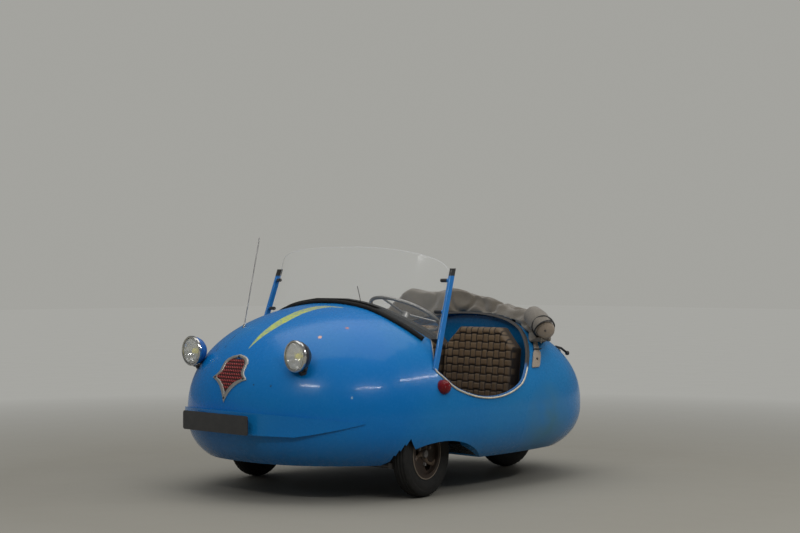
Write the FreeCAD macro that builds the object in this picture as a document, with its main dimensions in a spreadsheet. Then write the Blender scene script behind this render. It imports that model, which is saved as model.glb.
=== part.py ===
# Open three-wheeled bubble car: two steered wheels in front, one wheel behind.
# Millimetres. +X points forward, +Y to the car's left, +Z up.
# The origin is on the floor under the middle of the car's outline.
# The front wheels rest turned a little to the left.

import FreeCAD, Part
import Sketcher

import math
import os

from FreeCAD import Placement, Rotation, Vector

doc = FreeCAD.newDocument("BubbleCar")
sheet = doc.addObject("Spreadsheet::Sheet", "Sizes")

# Driving sizes: name in the sheet, value in millimetres or degrees, meaning.
SIZES = (
    ("shell_centre_x", 176, "x of the widest section of the body"),
    ("shell_front", 897, "length of the body ahead of its widest section"),
    ("shell_rear", 1300, "length of the body behind its widest section"),
    ("shell_half_width", 737, "half the body's width at the waist"),
    ("waist_z", 378, "height of the waist, where the two mouldings meet"),
    ("crown_rise", 540, "height of the body's crown above the waist"),
    ("belly_drop", 348, "depth of the full belly curve below the waist"),
    ("sill_z", 166, "height of the body's lower edge and underside"),
    ("wall", 6, "thickness of the glass fibre mouldings"),
    ("floor_thick", 6, "thickness of the floor"),
    ("seat_gap", 0.3, "gap between pieces that rest on each other"),
    ("nose_radius", 1976, "plan radius at the nose"),
    ("shoulder_radius", 634, "plan radius of the four corners"),
    ("flank_front_radius", 1753, "plan radius of the flanks, front half"),
    ("flank_rear_radius", 3087, "plan radius of the flanks, rear half"),
    ("tail_radius", 2400, "plan radius at the tail"),
    ("screen_x", 414, "x of the windscreen's foot on the centre line"),
    ("screen_bow", 3000, "plan radius of the windscreen's middle"),
    ("screen_middle", 320, "y where the screen's middle arc ends"),
    ("screen_corner", 482, "plan radius of the screen's corners"),
    ("screen_reach", 575, "y where the screen's corner arc ends"),
    ("screen_edge", 606, "y of the screen's side edges"),
    ("screen_top", 1168, "height of the screen's top edge"),
    ("screen_thick", 4, "thickness of the clear sheet"),
    ("screen_corner_round", 90, "radius of the sheet's upper corners"),
    ("rubber_half", 10, "half width of the rubber under the screen"),
    ("rubber_high", 22, "height of the rubber above the scuttle"),
    ("entry_front_x", 379, "x of the entry's front lower corner"),
    ("entry_front_y", 690, "y of the entry's front lower corner"),
    ("entry_low_z", 454, "lowest point of the entry's edge"),
    ("entry_low_x", 23, "x of the entry's lowest point"),
    ("entry_radius", 565, "radius of the entry's lower edge"),
    ("entry_corner", 190, "radius of the entry's lower corners"),
    ("entry_front_slope", 44, "slope of the entry's front edge"),
    ("entry_rear_slope", 44.5, "slope of the cockpit's rear edge"),
    ("trim_wide", 9, "width of the piping round the cockpit"),
    ("trim_proud", 3, "how far the piping stands out"),
    ("post_foot_x", 365, "x of a screen post at its foot"),
    ("post_foot_y", 676, "y of a screen post at its foot"),
    ("post_foot_z", 560, "z of a screen post at its foot"),
    ("post_top_x", 203, "x of a screen post at its top"),
    ("post_top_y", 642, "y of a screen post at its top"),
    ("post_top_z", 1071, "z of a screen post at its top"),
    ("post_wide", 32, "width of a screen post"),
    ("post_thick", 14, "thickness of a screen post"),
    ("clip_low_z", 866, "height of the lower screen clip"),
    ("clip_high_z", 1014, "height of the upper screen clip"),
    ("clip_radius", 9, "radius of the screen clips"),
    ("axle_x", 379, "x of the front axle"),
    ("wheelbase", 1240, "front axle to rear axle"),
    ("wheel_y", 592, "y of a front wheel's middle plane"),
    ("tyre_radius", 203, "outer radius of the tyres"),
    ("tyre_wide", 88, "width of the tyres"),
    ("tread_wide", 62, "width of the tread"),
    ("rim_radius", 102, "seat radius of the rims"),
    ("rim_flange", 119, "flange radius of the rims"),
    ("rim_wide", 66, "width of the rims over the flanges"),
    ("sheet_metal", 4, "thickness of the wheel pressings"),
    ("disc_dish", 12, "how far the wheel disc lies outside the middle"),
    ("hub_radius", 30, "radius of the wheel hub"),
    ("hub_long", 70, "length of the wheel hub"),
    ("stub_radius", 12, "radius of the stub axles"),
    ("lobe_count", 3, "arms of the wheel disc"),
    ("lobe_hole", 25, "radius of the holes between the arms"),
    ("lobe_ring", 67, "radius on which those holes lie"),
    ("kingpin_y", 517, "y of the kingpins"),
    ("kingpin_radius", 12, "radius of the kingpins"),
    ("running_gap", 0.1, "radial gap of turning pieces"),
    ("knuckle_radius", 20, "radius of the knuckle's upright"),
    ("knuckle_top", 250, "height of the knuckle's top"),
    ("beam_wide", 40, "fore and aft width of the front axle beam"),
    ("beam_high", 40, "height of the front axle beam"),
    ("beam_top", 160, "height of the beam's top"),
    ("steer_rest", 13, "steering angle at rest, degrees to the left"),
    ("arm_long", 140, "length of the steering arms"),
    ("arm_thick", 8, "thickness of the steering arms"),
    ("arm_wide", 24, "width of the steering arms"),
    ("rod_drop", 9, "height of the front beam's top above the track rod's middle"),
    ("tube_wall", 5, "wall of the tube round the track rod"),
    ("rod_radius", 8, "radius of the track rod"),
    ("rod_eye", 14, "radius of the track rod's eyes"),
    ("box_long", 60, "fore and aft length of the steering box"),
    ("box_wide", 70, "width of the steering box"),
    ("column_y", 264, "y of the steering column"),
    ("handwheel_x", 153, "x of the steering wheel's centre"),
    ("handwheel_z", 848, "z of the steering wheel's centre"),
    ("handwheel_radius", 180, "radius of the steering wheel's rim"),
    ("handwheel_grip", 9, "radius of the rim's section"),
    ("column_radius", 18, "radius of the steering column"),
    ("shaft_radius", 10, "radius of the steering shaft"),
    ("swing_gap", 8, "gap between a turned front tyre and the body's skin"),
    ("well_radius", 234, "inner radius of the front wheel wells"),
    ("well_y", 455, "y of a wheel well's inner face"),
    ("well_thick", 5, "thickness of the wheel wells"),
    ("arch_top", 268, "height of the wheel arch"),
    ("arch_x", 323, "x of the wheel arch's middle"),
    ("arch_radius", 469, "radius of the wheel arch"),
    ("notch_half", 62, "half width of the slot behind the rear wheel"),
    ("notch_top", 262, "height of the slot behind the rear wheel"),
    ("bulkhead_x", -600, "x of the bulkhead's front face"),
    ("bulkhead_thick", 8, "thickness of the bulkhead"),
    ("lid_front_x", -740, "x of the engine lid's front edge"),
    ("lid_rear_x", -1010, "x of the engine lid's rear edge"),
    ("lid_half", 250, "half width of the engine lid"),
    ("lid_round", 60, "corner radius of the engine lid"),
    ("lid_gap", 5, "gap round the engine lid"),
    ("hinge_radius", 7, "radius of the lid hinge's barrels"),
    ("hinge_y", 110, "y of the lid hinges"),
    ("hinge_long", 50, "length of a lid hinge's middle barrel"),
    ("hinge_lift", 2, "height of the hinge line above the skin's middle"),
    ("bumper_x", 1118.7, "x of the bumper's front"),
    ("bumper_tip_x", 752, "x of the bumper's tips"),
    ("bumper_tip_y", 628, "y of the bumper's tips"),
    ("bumper_top", 415, "height of the bumper's top at the nose"),
    ("bumper_low", 311, "height of the bumper's lower edge at the nose"),
    ("bumper_tip_z", 369, "height of the bumper's tips"),
    ("plate_wide", 488, "width of the number plate"),
    ("plate_high", 88, "height of the number plate"),
    ("plate_thick", 5, "thickness of the number plate"),
    ("plate_z", 356, "height of the number plate's middle"),
    ("grille_top", 662, "top of the grille"),
    ("grille_tip", 450, "lower tip of the grille"),
    ("grille_ear_z", 556, "height of the grille's pointed sides"),
    ("grille_half", 125, "half width of the grille"),
    ("grille_band", 17, "width of the grille's frame"),
    ("grille_proud", 7, "how far the grille's frame stands out"),
    ("lamp_x", 961, "x of the headlamps' rim"),
    ("lamp_y", 391.5, "y of the headlamps"),
    ("lamp_z", 671, "z of the headlamps"),
    ("lamp_radius", 73, "outer radius of the headlamps' rims"),
    ("lamp_deep", 72, "depth of the headlamps' bowls"),
    ("lamp_foot", 12, "radius of the headlamps' feet"),
    ("marker_x", 337, "x of the side lamps"),
    ("marker_z", 519, "z of the side lamps"),
    ("marker_radius", 34, "radius of the side lamps"),
    ("marker_proud", 36, "how far the side lamps stand out"),
    ("seat_front_x", -376, "x of the seat backs' front at the top"),
    ("seat_wide", 490, "width of a seat"),
    ("seat_y", 254, "y of a seat's middle"),
    ("seat_top", 772, "height of the seat backs"),
    ("seat_thick", 80, "thickness of the seat backs"),
    ("seat_lean", 6, "lean of the seat backs, degrees"),
    ("seat_corner", 75, "size of the seat backs' cut corners"),
    ("bench_top", 290, "height of the seat box"),
    ("bench_front_x", -10, "x of the seat box's front"),
    ("bench_rear_x", -470, "x of the seat box's rear"),
    ("bench_wall", 8, "thickness of the seat box's panels"),
    ("cushion_thick", 85, "thickness of the seat cushions"),
    ("hood_thick", 72, "thickness of the folded hood"),
    ("hood_wide", 150, "width of the folded hood along the body"),
    ("hood_gap", 8, "gap between the folded hood and the lid's hinge"),
    ("hood_low_z", 700, "height of the folded hood's ends"),
    ("strap_wide", 26, "width of the hood straps"),
    ("strap_low_z", 612, "height of the hood straps' lower ends"),
    ("aerial_x", 773, "x of the aerial's foot"),
    ("aerial_y", -227, "y of the aerial's foot"),
    ("aerial_foot_z", 780, "z of the aerial's foot"),
    ("aerial_tip_x", 676, "x of the aerial's tip"),
    ("aerial_tip_z", 1222, "z of the aerial's tip"),
    ("aerial_radius", 2.5, "radius of the aerial"),
    ("rail_y", 250, "y of the floor rails"),
    ("rail_wide", 40, "width of the floor rails"),
    ("rail_high", 28, "height of the floor rails"),
    ("fork_half", 66, "y of the rear fork's arms"),
    ("fork_tube", 12, "radius of the rear fork's tubes"),
    ("fork_pivot_x", -632, "x of the rear fork's pivot"),
    ("fork_pivot_z", 212, "z of the rear fork's pivot"),
    ("fork_pivot_half", 120, "half length of the pivot tube"),
    ("frame_y", 190, "y of the rear frame's rails"),
    ("frame_bar", 30, "size of the rear frame's bars"),
    ("frame_low_z", 196, "underside of the rear frame"),
    ("frame_rear_x", -985, "x of the rear frame's end"),
    ("engine_front_x", -690, "x of the engine's front"),
    ("engine_long", 260, "length of the engine"),
    ("engine_wide", 230, "width of the engine"),
    ("engine_high", 270, "height of the engine"),
    ("exhaust_radius", 45, "radius of the silencer"),
    ("pipe_radius", 14, "radius of the tail pipe"),
    ("exhaust_long", 300, "length of the silencer"),
)


class Term:
    """A size that carries both its value and the formula that binds it to the sheet."""

    def __init__(self, words, value):
        self.words = words
        self.value = value

    def __add__(self, other):
        return joined(self, "+", other, self.value + term(other).value)

    def __radd__(self, other):
        return term(other) + self

    def __sub__(self, other):
        return joined(self, "-", other, self.value - term(other).value)

    def __rsub__(self, other):
        return term(other) - self

    def __mul__(self, other):
        return joined(self, "*", other, self.value * term(other).value)

    def __rmul__(self, other):
        return term(other) * self

    def __truediv__(self, other):
        return joined(self, "/", other, self.value / term(other).value)

    def __neg__(self):
        return term(0) - self

    def __float__(self):
        return float(self.value)


def term(thing):
    if isinstance(thing, Term):
        return thing
    return Term("%.9g" % thing if thing >= 0 else "(%.9g)" % thing, float(thing))


def joined(first, sign, second, value):
    return Term("(%s %s %s)" % (first.words, sign, term(second).words), value)


def cosine(angle):
    return Term("cos(%s)" % angle.words, math.cos(math.radians(angle.value)))


def sine(angle):
    return Term("sin(%s)" % angle.words, math.sin(math.radians(angle.value)))


class Sizes:
    """The sheet's sizes as terms, by name."""

    def __getattr__(self, name):
        return Term("Sizes." + name, float(sheet.get(name)))


for row, (name, value, meaning) in enumerate(SIZES, start=1):
    sheet.set("A%d" % row, meaning)
    sheet.set("B%d" % row, str(value))
    sheet.setAlias("B%d" % row, name)
doc.recompute()
S = Sizes()
NODES = {}
SIDES = (("left", 1), ("right", -1))


# Helpers for document objects

def bind(piece, prop, size):
    size = term(size)
    setattr(piece, prop, size.value)
    piece.setExpression(prop, size.words)


def place(piece, at, turn=None):
    at = [term(size) for size in at]
    piece.Placement = Placement(Vector(*[size.value for size in at]), turn or Rotation())
    for axis, size in zip("xyz", at):
        piece.setExpression("Placement.Base." + axis, size.words)


def turned(piece, axis, angle):
    """Turn a placed piece about its own origin by a size of the sheet, in degrees."""
    piece.Placement = Placement(piece.Placement.Base, Rotation(axis, angle.value))
    piece.setExpression("Placement.Rotation.Angle", angle.words)


def solid(kind, name, at=(0, 0, 0), turn=None, **sizes):
    piece = doc.addObject("Part::" + kind, name)
    for prop, size in sizes.items():
        bind(piece, prop, size)
    place(piece, at, turn)
    return piece


def box(name, low, high):
    """A box between two corners."""
    low = [term(size) for size in low]
    length, width, height = [term(top) - bottom for top, bottom in zip(high, low)]
    return solid("Box", name, low, Length=length, Width=width, Height=height)


def fused(name, pieces):
    piece = doc.addObject("Part::MultiFuse", name)
    piece.Shapes = pieces
    return piece


def cut(name, base, tool):
    piece = doc.addObject("Part::Cut", name)
    piece.Base = base
    piece.Tool = tool
    return piece


def node(label, piece):
    piece.Label = label
    NODES[label] = piece
    return piece


def feature(name, shape):
    piece = doc.addObject("Part::Feature", name)
    piece.Shape = shape
    return piece


def new_body(name):
    return doc.addObject("PartDesign::Body", name)


def new_sketch(body, name, role="XY_Plane"):
    sketch = body.newObject("Sketcher::SketchObject", name)
    plane = [part for part in body.Origin.OriginFeatures if part.Role == role][0]
    sketch.AttachmentSupport = [(plane, "")]
    sketch.MapMode = "FlatFace"
    return sketch


def draw(sketch, points):
    """A closed outline of straight lines whose corners are sizes of the sheet."""
    points = [(term(x), term(y)) for x, y in points]
    first = sketch.GeometryCount
    count = len(points)
    for index, (x, y) in enumerate(points):
        next_x, next_y = points[(index + 1) % count]
        sketch.addGeometry(Part.LineSegment(
            Vector(x.value, y.value, 0), Vector(next_x.value, next_y.value, 0)))
    for index in range(count):
        follower = first + (index + 1) % count
        sketch.addConstraint(Sketcher.Constraint("Coincident", first + index, 2, follower, 1))
    for index, (x, y) in enumerate(points):
        for kind, size in (("DistanceX", x), ("DistanceY", y)):
            number = sketch.addConstraint(
                Sketcher.Constraint(kind, first + index, 1, size.value))
            sketch.setExpression("Constraints[%d]" % number, size.words)


def draw_circle(sketch, x, y, radius):
    x, y, radius = term(x), term(y), term(radius)
    number = sketch.addGeometry(Part.Circle(
        Vector(x.value, y.value, 0), Vector(0, 0, 1), radius.value))
    for kind, size in (("DistanceX", x), ("DistanceY", y)):
        constraint = sketch.addConstraint(Sketcher.Constraint(kind, number, 3, size.value))
        sketch.setExpression("Constraints[%d]" % constraint, size.words)
    constraint = sketch.addConstraint(Sketcher.Constraint("Radius", number, radius.value))
    sketch.setExpression("Constraints[%d]" % constraint, radius.words)


def revolved(name, points, axis="V_Axis"):
    """A body turned about its own Y axis from an outline in its XY plane."""
    body = new_body(name)
    sketch = new_sketch(body, name + "_outline")
    draw(sketch, points)
    turn = body.newObject("PartDesign::Revolution", name + "_turn")
    turn.Profile = sketch
    turn.ReferenceAxis = (sketch, [axis])
    turn.Angle = 360
    sketch.Visibility = False
    return body


# The body's egg form
# Every level of the egg has the same plan outline, at a smaller scale.
# Each entry is the share of the crown's rise or the belly's drop.

CROWN_FULLNESS = 2.22
BELLY_FULLNESS = 2.613
CROWN_LEVELS = (0.16, 0.34, 0.52, 0.68, 0.81, 0.91, 0.975)
BELLY_LEVELS = (0.72, 0.56, 0.38, 0.19)


def level_scale(share, fullness):
    return (1 - share ** fullness) ** (1 / fullness)


def corner_centre(length, width, end_radius, side_radius, corner_radius):
    """The centre of a corner arc that is tangent to an end arc and a side arc."""
    end = Vector(length - end_radius, 0, 0)
    side = Vector(0, width - side_radius, 0)
    end_reach = end_radius - corner_radius
    side_reach = side_radius - corner_radius
    between = side - end
    apart = between.Length
    along = (end_reach ** 2 - side_reach ** 2 + apart ** 2) / (2 * apart)
    across = math.sqrt(end_reach ** 2 - along ** 2)
    unit = between * (1 / apart)
    normal = Vector(-unit.y, unit.x, 0)
    return end, side, end + unit * along + normal * across


def quarter(length, width, end_radius, side_radius, corner_radius):
    """Points of a quarter outline from its end to its side: three tangent arcs."""
    end, side, corner = corner_centre(length, width, end_radius, side_radius, corner_radius)

    def on_arc(centre, radius, toward):
        return centre + toward * (radius / toward.Length)

    end_stop = on_arc(end, end_radius, corner - end)
    side_stop = on_arc(side, side_radius, corner - side)
    middle = on_arc(corner, corner_radius,
                    (end_stop - corner) * (1 / corner_radius)
                    + (side_stop - corner) * (1 / corner_radius))
    flank = on_arc(side, side_radius,
                   (side_stop - side) * (1 / side_radius) + Vector(0, 1, 0))
    return (Vector(length, 0, 0), end_stop, middle, side_stop, flank, Vector(0, width, 0))


def plan_wire(scale, height, inset=0.0):
    """The body's plan outline at one level, as ten tangent arcs."""
    width = S.shell_half_width.value - inset
    corner = S.shoulder_radius.value
    ends = (
        (1, S.shell_front.value - inset, S.nose_radius.value, S.flank_front_radius.value),
        (-1, S.shell_rear.value - inset, S.tail_radius.value, S.flank_rear_radius.value),
    )

    def at(point, forward, left):
        return Vector(S.shell_centre_x.value + forward * point.x * scale,
                      left * point.y * scale, height)

    edges = []
    quarters = {}
    for forward, length, end_radius, side_radius in ends:
        quarters[forward] = quarter(length, width, end_radius, side_radius, corner)
    for forward, left in ((1, 1), (-1, 1), (-1, -1), (1, -1)):
        end, end_stop, middle, side_stop, flank, side = [
            at(point, forward, left) for point in quarters[forward]]
        corner_arc = Part.Arc(end_stop, middle, side_stop).toShape()
        flank_arc = Part.Arc(side_stop, flank, side).toShape()
        mirrored = Vector(end_stop.x, -end_stop.y, end_stop.z)
        end_arc = Part.Arc(mirrored, end, end_stop).toShape()
        if (forward, left) == (1, 1):
            edges += [end_arc, corner_arc, flank_arc]
        elif (forward, left) == (-1, 1):
            edges += [flank_arc, corner_arc]
        elif (forward, left) == (-1, -1):
            edges += [end_arc, corner_arc, flank_arc]
        else:
            edges += [flank_arc, corner_arc]
    return Part.Wire(Part.__sortEdges__(edges))


EGGS = {}


def egg(inset=0.0):
    """The whole body form as one solid, smaller by the inset or larger if it is negative."""
    if inset not in EGGS:
        EGGS[inset] = egg_loft(inset)
    return EGGS[inset]


def egg_loft(inset):
    waist = S.waist_z.value
    rise = S.crown_rise.value - inset
    drop = S.belly_drop.value - inset
    sections = []
    sill = (waist - S.sill_z.value + 1) / drop
    for share in (sill,) + BELLY_LEVELS:
        sections.append(plan_wire(level_scale(share, BELLY_FULLNESS), waist - share * drop, inset))
    sections.append(plan_wire(1.0, waist, inset))
    for share in CROWN_LEVELS:
        sections.append(plan_wire(level_scale(share, CROWN_FULLNESS), waist + share * rise, inset))
    return Part.makeLoft(sections, True, False)


LAYERS = {}


def layer(outside, inside):
    """The skin between two distances outside the body's surface."""
    key = (outside, inside)
    if key not in LAYERS:
        LAYERS[key] = egg(-outside).cut(egg(-inside))
    return LAYERS[key]


def slab(low_z, high_z):
    """A block wider than the car between two heights."""
    reach = 1600
    return Part.makeBox(2 * reach, 2 * reach, high_z - low_z, Vector(-reach, -reach, low_z))


def prism(points, along, start):
    """A face through points or arcs, pushed along a vector from a start vector."""
    face = Part.Face(Part.Wire(points))
    face.translate(start)
    return face.extrude(along)


def lines(points, closed=True):
    return Part.makePolygon(list(points) + ([points[0]] if closed else []))


FAR = 1500


def screen_curve(offset=0.0):
    """Edges of the screen's plan curve from right to left, moved forward by an offset."""
    bow = S.screen_bow.value + offset
    corner = S.screen_corner.value + offset
    tip = Vector(S.screen_x.value + offset, 0, 0)
    bow_centre = Vector(S.screen_x.value - S.screen_bow.value, 0, 0)
    sweep = math.asin(S.screen_middle.value / S.screen_bow.value)
    stop = bow_centre + Vector(math.cos(sweep), math.sin(sweep), 0) * bow
    corner_centre_point = bow_centre + Vector(math.cos(sweep), math.sin(sweep), 0) * (
        S.screen_bow.value - S.screen_corner.value)
    last = math.asin((S.screen_reach.value - corner_centre_point.y) / S.screen_corner.value)
    half = (sweep + last) / 2
    middle = corner_centre_point + Vector(math.cos(half), math.sin(half), 0) * corner
    end = corner_centre_point + Vector(math.cos(last), math.sin(last), 0) * corner
    run = (S.screen_edge.value - S.screen_reach.value) / math.cos(last)
    edge = end + Vector(-math.sin(last), math.cos(last), 0) * run

    def other(point):
        return Vector(point.x, -point.y, 0)

    return [
        Part.LineSegment(other(edge), other(end)).toShape(),
        Part.Arc(other(end), other(middle), other(stop)).toShape(),
        Part.Arc(other(stop), tip, stop).toShape(),
        Part.Arc(stop, middle, end).toShape(),
        Part.LineSegment(end, edge).toShape(),
    ], edge, end


def band(forward, backward):
    """A plan face along the screen's curve between two offsets."""
    front, front_edge, _ = screen_curve(forward)
    back, back_edge, _ = screen_curve(-backward)

    def other(point):
        return Vector(point.x, -point.y, 0)

    ends = [Part.LineSegment(front_edge, back_edge).toShape(),
            Part.LineSegment(other(back_edge), other(front_edge)).toShape()]
    return Part.Face(Part.Wire(Part.__sortEdges__(front + back + ends)))


def entry_side_prism(shrink=0.0):
    """What the cockpit opening takes away, seen from the side, across the whole car."""
    radius = S.entry_radius.value - shrink
    corner = S.entry_corner.value - shrink
    centre = Vector(S.entry_low_x.value, 0, S.entry_low_z.value + S.entry_radius.value)
    sweep = math.radians(23)
    front_slope = math.radians(S.entry_front_slope.value)
    rear_slope = math.radians(S.entry_rear_slope.value)

    def spot(middle, reach, angle):
        return middle + Vector(math.sin(angle), 0, -math.cos(angle)) * reach

    front_centre = spot(centre, S.entry_radius.value - S.entry_corner.value, sweep)
    rear_centre = spot(centre, S.entry_radius.value - S.entry_corner.value, -sweep)
    front_start = spot(centre, radius, sweep)
    front_end = spot(front_centre, corner, front_slope)
    rear_start = spot(centre, radius, -sweep)
    rear_end = spot(rear_centre, corner, -rear_slope)
    front_far = front_end + Vector(math.cos(front_slope), 0, math.sin(front_slope)) * FAR
    rear_far = rear_end + Vector(-math.cos(rear_slope), 0, math.sin(rear_slope)) * FAR
    edges = [
        Part.LineSegment(rear_far, rear_end).toShape(),
        Part.Arc(rear_end, spot(rear_centre, corner, -(sweep + rear_slope) / 2),
                 rear_start).toShape(),
        Part.Arc(rear_start, spot(centre, radius, 0), front_start).toShape(),
        Part.Arc(front_start, spot(front_centre, corner, (sweep + front_slope) / 2),
                 front_end).toShape(),
        Part.LineSegment(front_end, front_far).toShape(),
        Part.LineSegment(front_far, rear_far).toShape(),
    ]
    return prism(edges, Vector(0, 2 * FAR, 0), Vector(0, -FAR, 0)), rear_end, rear_slope


def entry_plan_prism(shrink=0.0):
    """What the cockpit opening takes away, seen from above: all behind the screen's foot."""
    curve, edge, end = screen_curve(-shrink)
    shoulder = Vector(S.entry_front_x.value - shrink, S.entry_front_y.value, 0)
    out = Vector(S.entry_front_x.value - shrink, FAR, 0)
    back = Vector(-FAR, FAR, 0)

    def other(point):
        return Vector(point.x, -point.y, 0)

    edges = curve[1:-1] + [
        Part.LineSegment(end, shoulder).toShape(),
        Part.LineSegment(shoulder, out).toShape(),
        Part.LineSegment(out, back).toShape(),
        Part.LineSegment(back, other(back)).toShape(),
        Part.LineSegment(other(back), other(out)).toShape(),
        Part.LineSegment(other(out), other(shoulder)).toShape(),
        Part.LineSegment(other(shoulder), other(end)).toShape(),
    ]
    face = Part.Face(Part.Wire(Part.__sortEdges__(edges)))
    return face.extrude(Vector(0, 0, FAR))


def entry(shrink=0.0):
    side, _, _ = entry_side_prism(shrink)
    return entry_plan_prism(shrink).common(side)


def lid_prism(gap):
    """The engine lid's plan outline with rounded corners, pushed upwards."""
    low = S.lid_rear_x.value - gap
    high = S.lid_front_x.value + gap
    half = S.lid_half.value + gap
    block = Part.makeBox(high - low, 2 * half, FAR, Vector(low, -half, S.waist_z.value))
    upright = [edge for edge in block.Edges
               if abs(edge.BoundBox.ZLength - FAR) < 1 and edge.BoundBox.XLength < 1]
    return block.makeFillet(S.lid_round.value, upright)


OUTER = egg()
INNER = egg(S.wall.value)
SHELL = OUTER.cut(INNER)


def skin_z(x, y):
    """Height of the body's upper skin over a spot."""
    upright = Part.makeLine(Vector(x, y, S.waist_z.value), Vector(x, y, FAR))
    return OUTER.common(upright).BoundBox.ZMax


HINGE_X = S.lid_front_x.value + S.lid_gap.value / 2
HINGE_Z = skin_z(HINGE_X, 0) + S.hinge_lift.value


def hinge_barrels(middle, extra=0.0):
    """The lid's middle barrels, or the body's barrels on both sides of them."""
    radius = S.hinge_radius.value + extra
    long = S.hinge_long.value
    gap = S.seat_gap.value
    pieces = []
    for side in (1, -1):
        centre = side * S.hinge_y.value
        if middle:
            spans = ((centre - long / 2 - extra, long + 2 * extra),)
        else:
            spans = ((centre - long - gap - extra, long / 2 + 2 * extra),
                     (centre + long / 2 + gap - extra, long / 2 + 2 * extra))
        for start, length in spans:
            barrel = Part.makeCylinder(radius, length, Vector(HINGE_X, start, HINGE_Z),
                                       Vector(0, 1, 0))
            if not extra:
                leaf_x = HINGE_X - 12 if middle else HINGE_X + S.seat_gap.value
                leaf = Part.makeBox(12 - S.seat_gap.value, length, 50,
                                    Vector(leaf_x, start, HINGE_Z - 50))
                barrel = barrel.fuse(leaf.cut(egg(S.wall.value - 2)))
            pieces.append(barrel)
    return pieces


def body_upper():
    """The upper moulding: nose, scuttle and tail, with the cockpit and lid cut out."""
    shape = SHELL.common(slab(S.waist_z.value, FAR))
    shape = shape.cut(entry())
    shape = shape.cut(lid_prism(S.lid_gap.value))
    for barrel in hinge_barrels(True, S.lid_gap.value):
        shape = shape.cut(barrel)
    return shape.fuse(hinge_barrels(False))


def arch_prism(extra=0.0):
    """The low front wheel arch, across the car outside the well, or larger by a wall."""
    radius = S.arch_radius.value + extra
    middle = Vector(S.arch_x.value, 0, S.arch_top.value - S.arch_radius.value)
    low = S.sill_z.value - 10
    half = math.sqrt(radius ** 2 - (low - middle.z) ** 2)
    first = Vector(middle.x - half, 0, low)
    last = Vector(middle.x + half, 0, low)
    edges = [Part.Arc(first, middle + Vector(0, 0, radius), last).toShape(),
             Part.LineSegment(last, first).toShape()]
    return prism(edges, Vector(0, FAR, 0), Vector(0, S.well_y.value - extra, 0))


def wheel_well():
    """A pressed housing round the upper half of a front wheel, part of the lower moulding."""
    inner = S.well_radius.value
    thick = S.well_thick.value
    centre = Vector(S.axle_x.value, 0, S.tyre_radius.value)
    across = Vector(0, 1, 0)
    start = S.well_y.value
    outer_cylinder = Part.makeCylinder(inner + thick, FAR, centre + across * (start - thick), across)
    inner_cylinder = Part.makeCylinder(inner, FAR, centre + across * start, across)
    outer_cylinder = outer_cylinder.fuse(arch_prism(thick))
    inner_cylinder = inner_cylinder.fuse(arch_prism())
    floor_top = S.sill_z.value + S.floor_thick.value
    wall = S.wall.value
    low = egg(wall - 1).common(slab(floor_top - 1, S.waist_z.value - 2))
    high = egg(wall + S.seat_gap.value).common(slab(floor_top + 1, FAR))
    low = low.common(outer_cylinder).cut(inner_cylinder)
    high = high.common(outer_cylinder).cut(inner_cylinder)
    return low.fuse(high)


def tyre_swing():
    """The room that the left front tyre sweeps at the skin, from rest to its locks."""
    front = None
    for degrees in (0, 5.5, 11, 16.5):
        angle = math.radians(degrees)
        outward = Vector(-math.sin(angle), math.cos(angle), 0)
        half = S.tyre_wide.value / 2 + S.swing_gap.value
        middle = S.wheel_y.value - S.kingpin_y.value
        start = Vector(S.axle_x.value, S.kingpin_y.value, S.tyre_radius.value)
        disc = Part.makeCylinder(S.tyre_radius.value + S.swing_gap.value, 2 * half,
                                 start + outward * (middle - half), outward)
        front = disc if front is None else front.fuse(disc)
    ahead = Part.makeBox(FAR, FAR, FAR, Vector(S.axle_x.value + 90, 0, 0))
    front = front.common(ahead)
    rear = front.mirror(Vector(S.axle_x.value, 0, 0), Vector(1, 0, 0))
    return [front, rear]


def body_lower():
    """The lower moulding: belly skin and floor, with wheel arches and an open engine bay."""
    sill = S.sill_z.value
    full = OUTER.common(slab(sill, S.waist_z.value))
    hollow = INNER.common(slab(sill + S.floor_thick.value, FAR))
    bay = INNER.common(slab(sill - 20, sill + 20)).common(Part.makeBox(
        2 * FAR, 2 * FAR, FAR, Vector(S.bulkhead_x.value - S.bulkhead_thick.value - 2 * FAR,
                                      -FAR, 0)))
    shape = full.cut(hollow).cut(bay)
    arch = arch_prism()
    mirror = arch.mirror(Vector(0, 0, 0), Vector(0, 1, 0))
    half = math.sqrt(S.well_radius.value ** 2 - (S.tyre_radius.value - sill) ** 2)
    hole = Part.makeBox(2 * half, FAR, S.floor_thick.value + 20,
                        Vector(S.axle_x.value - half, S.well_y.value, sill - 20))
    other_hole = hole.mirror(Vector(0, 0, 0), Vector(0, 1, 0))
    notch_half = S.notch_half.value
    notch = Part.makeBox(FAR, 2 * notch_half, S.notch_top.value - sill + 20,
                         Vector(S.axle_x.value - S.wheelbase.value - FAR, -notch_half, sill - 20))
    shape = shape.cut(arch).cut(mirror).cut(hole).cut(other_hole).cut(notch)
    housing = wheel_well()
    shape = shape.fuse([housing, housing.mirror(Vector(0, 0, 0), Vector(0, 1, 0))])
    for swing in tyre_swing():
        shape = shape.cut(swing).cut(swing.mirror(Vector(0, 0, 0), Vector(0, 1, 0)))
    pipe_x, pipe_y = tail_pipe_spot()
    return shape.cut(Part.makeCylinder(S.pipe_radius.value + S.seat_gap.value + 5, S.waist_z.value
                                       - S.sill_z.value - 80, Vector(pipe_x, pipe_y,
                                                                     S.sill_z.value - 30)))


def tail_pipe_spot():
    """Where the tail pipe passes down through the belly."""
    return (S.engine_front_x.value - S.exhaust_long.value + 55,
            S.frame_y.value + S.frame_bar.value / 2 + 18)


def cockpit_trim():
    """The piping that covers the raw edge of the cockpit opening."""
    proud = S.trim_proud.value
    band_shape = layer(proud, -S.wall.value - proud)
    ring = entry().cut(entry(S.trim_wide.value))
    return band_shape.common(ring).common(slab(S.entry_low_z.value - 20, FAR))


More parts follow.
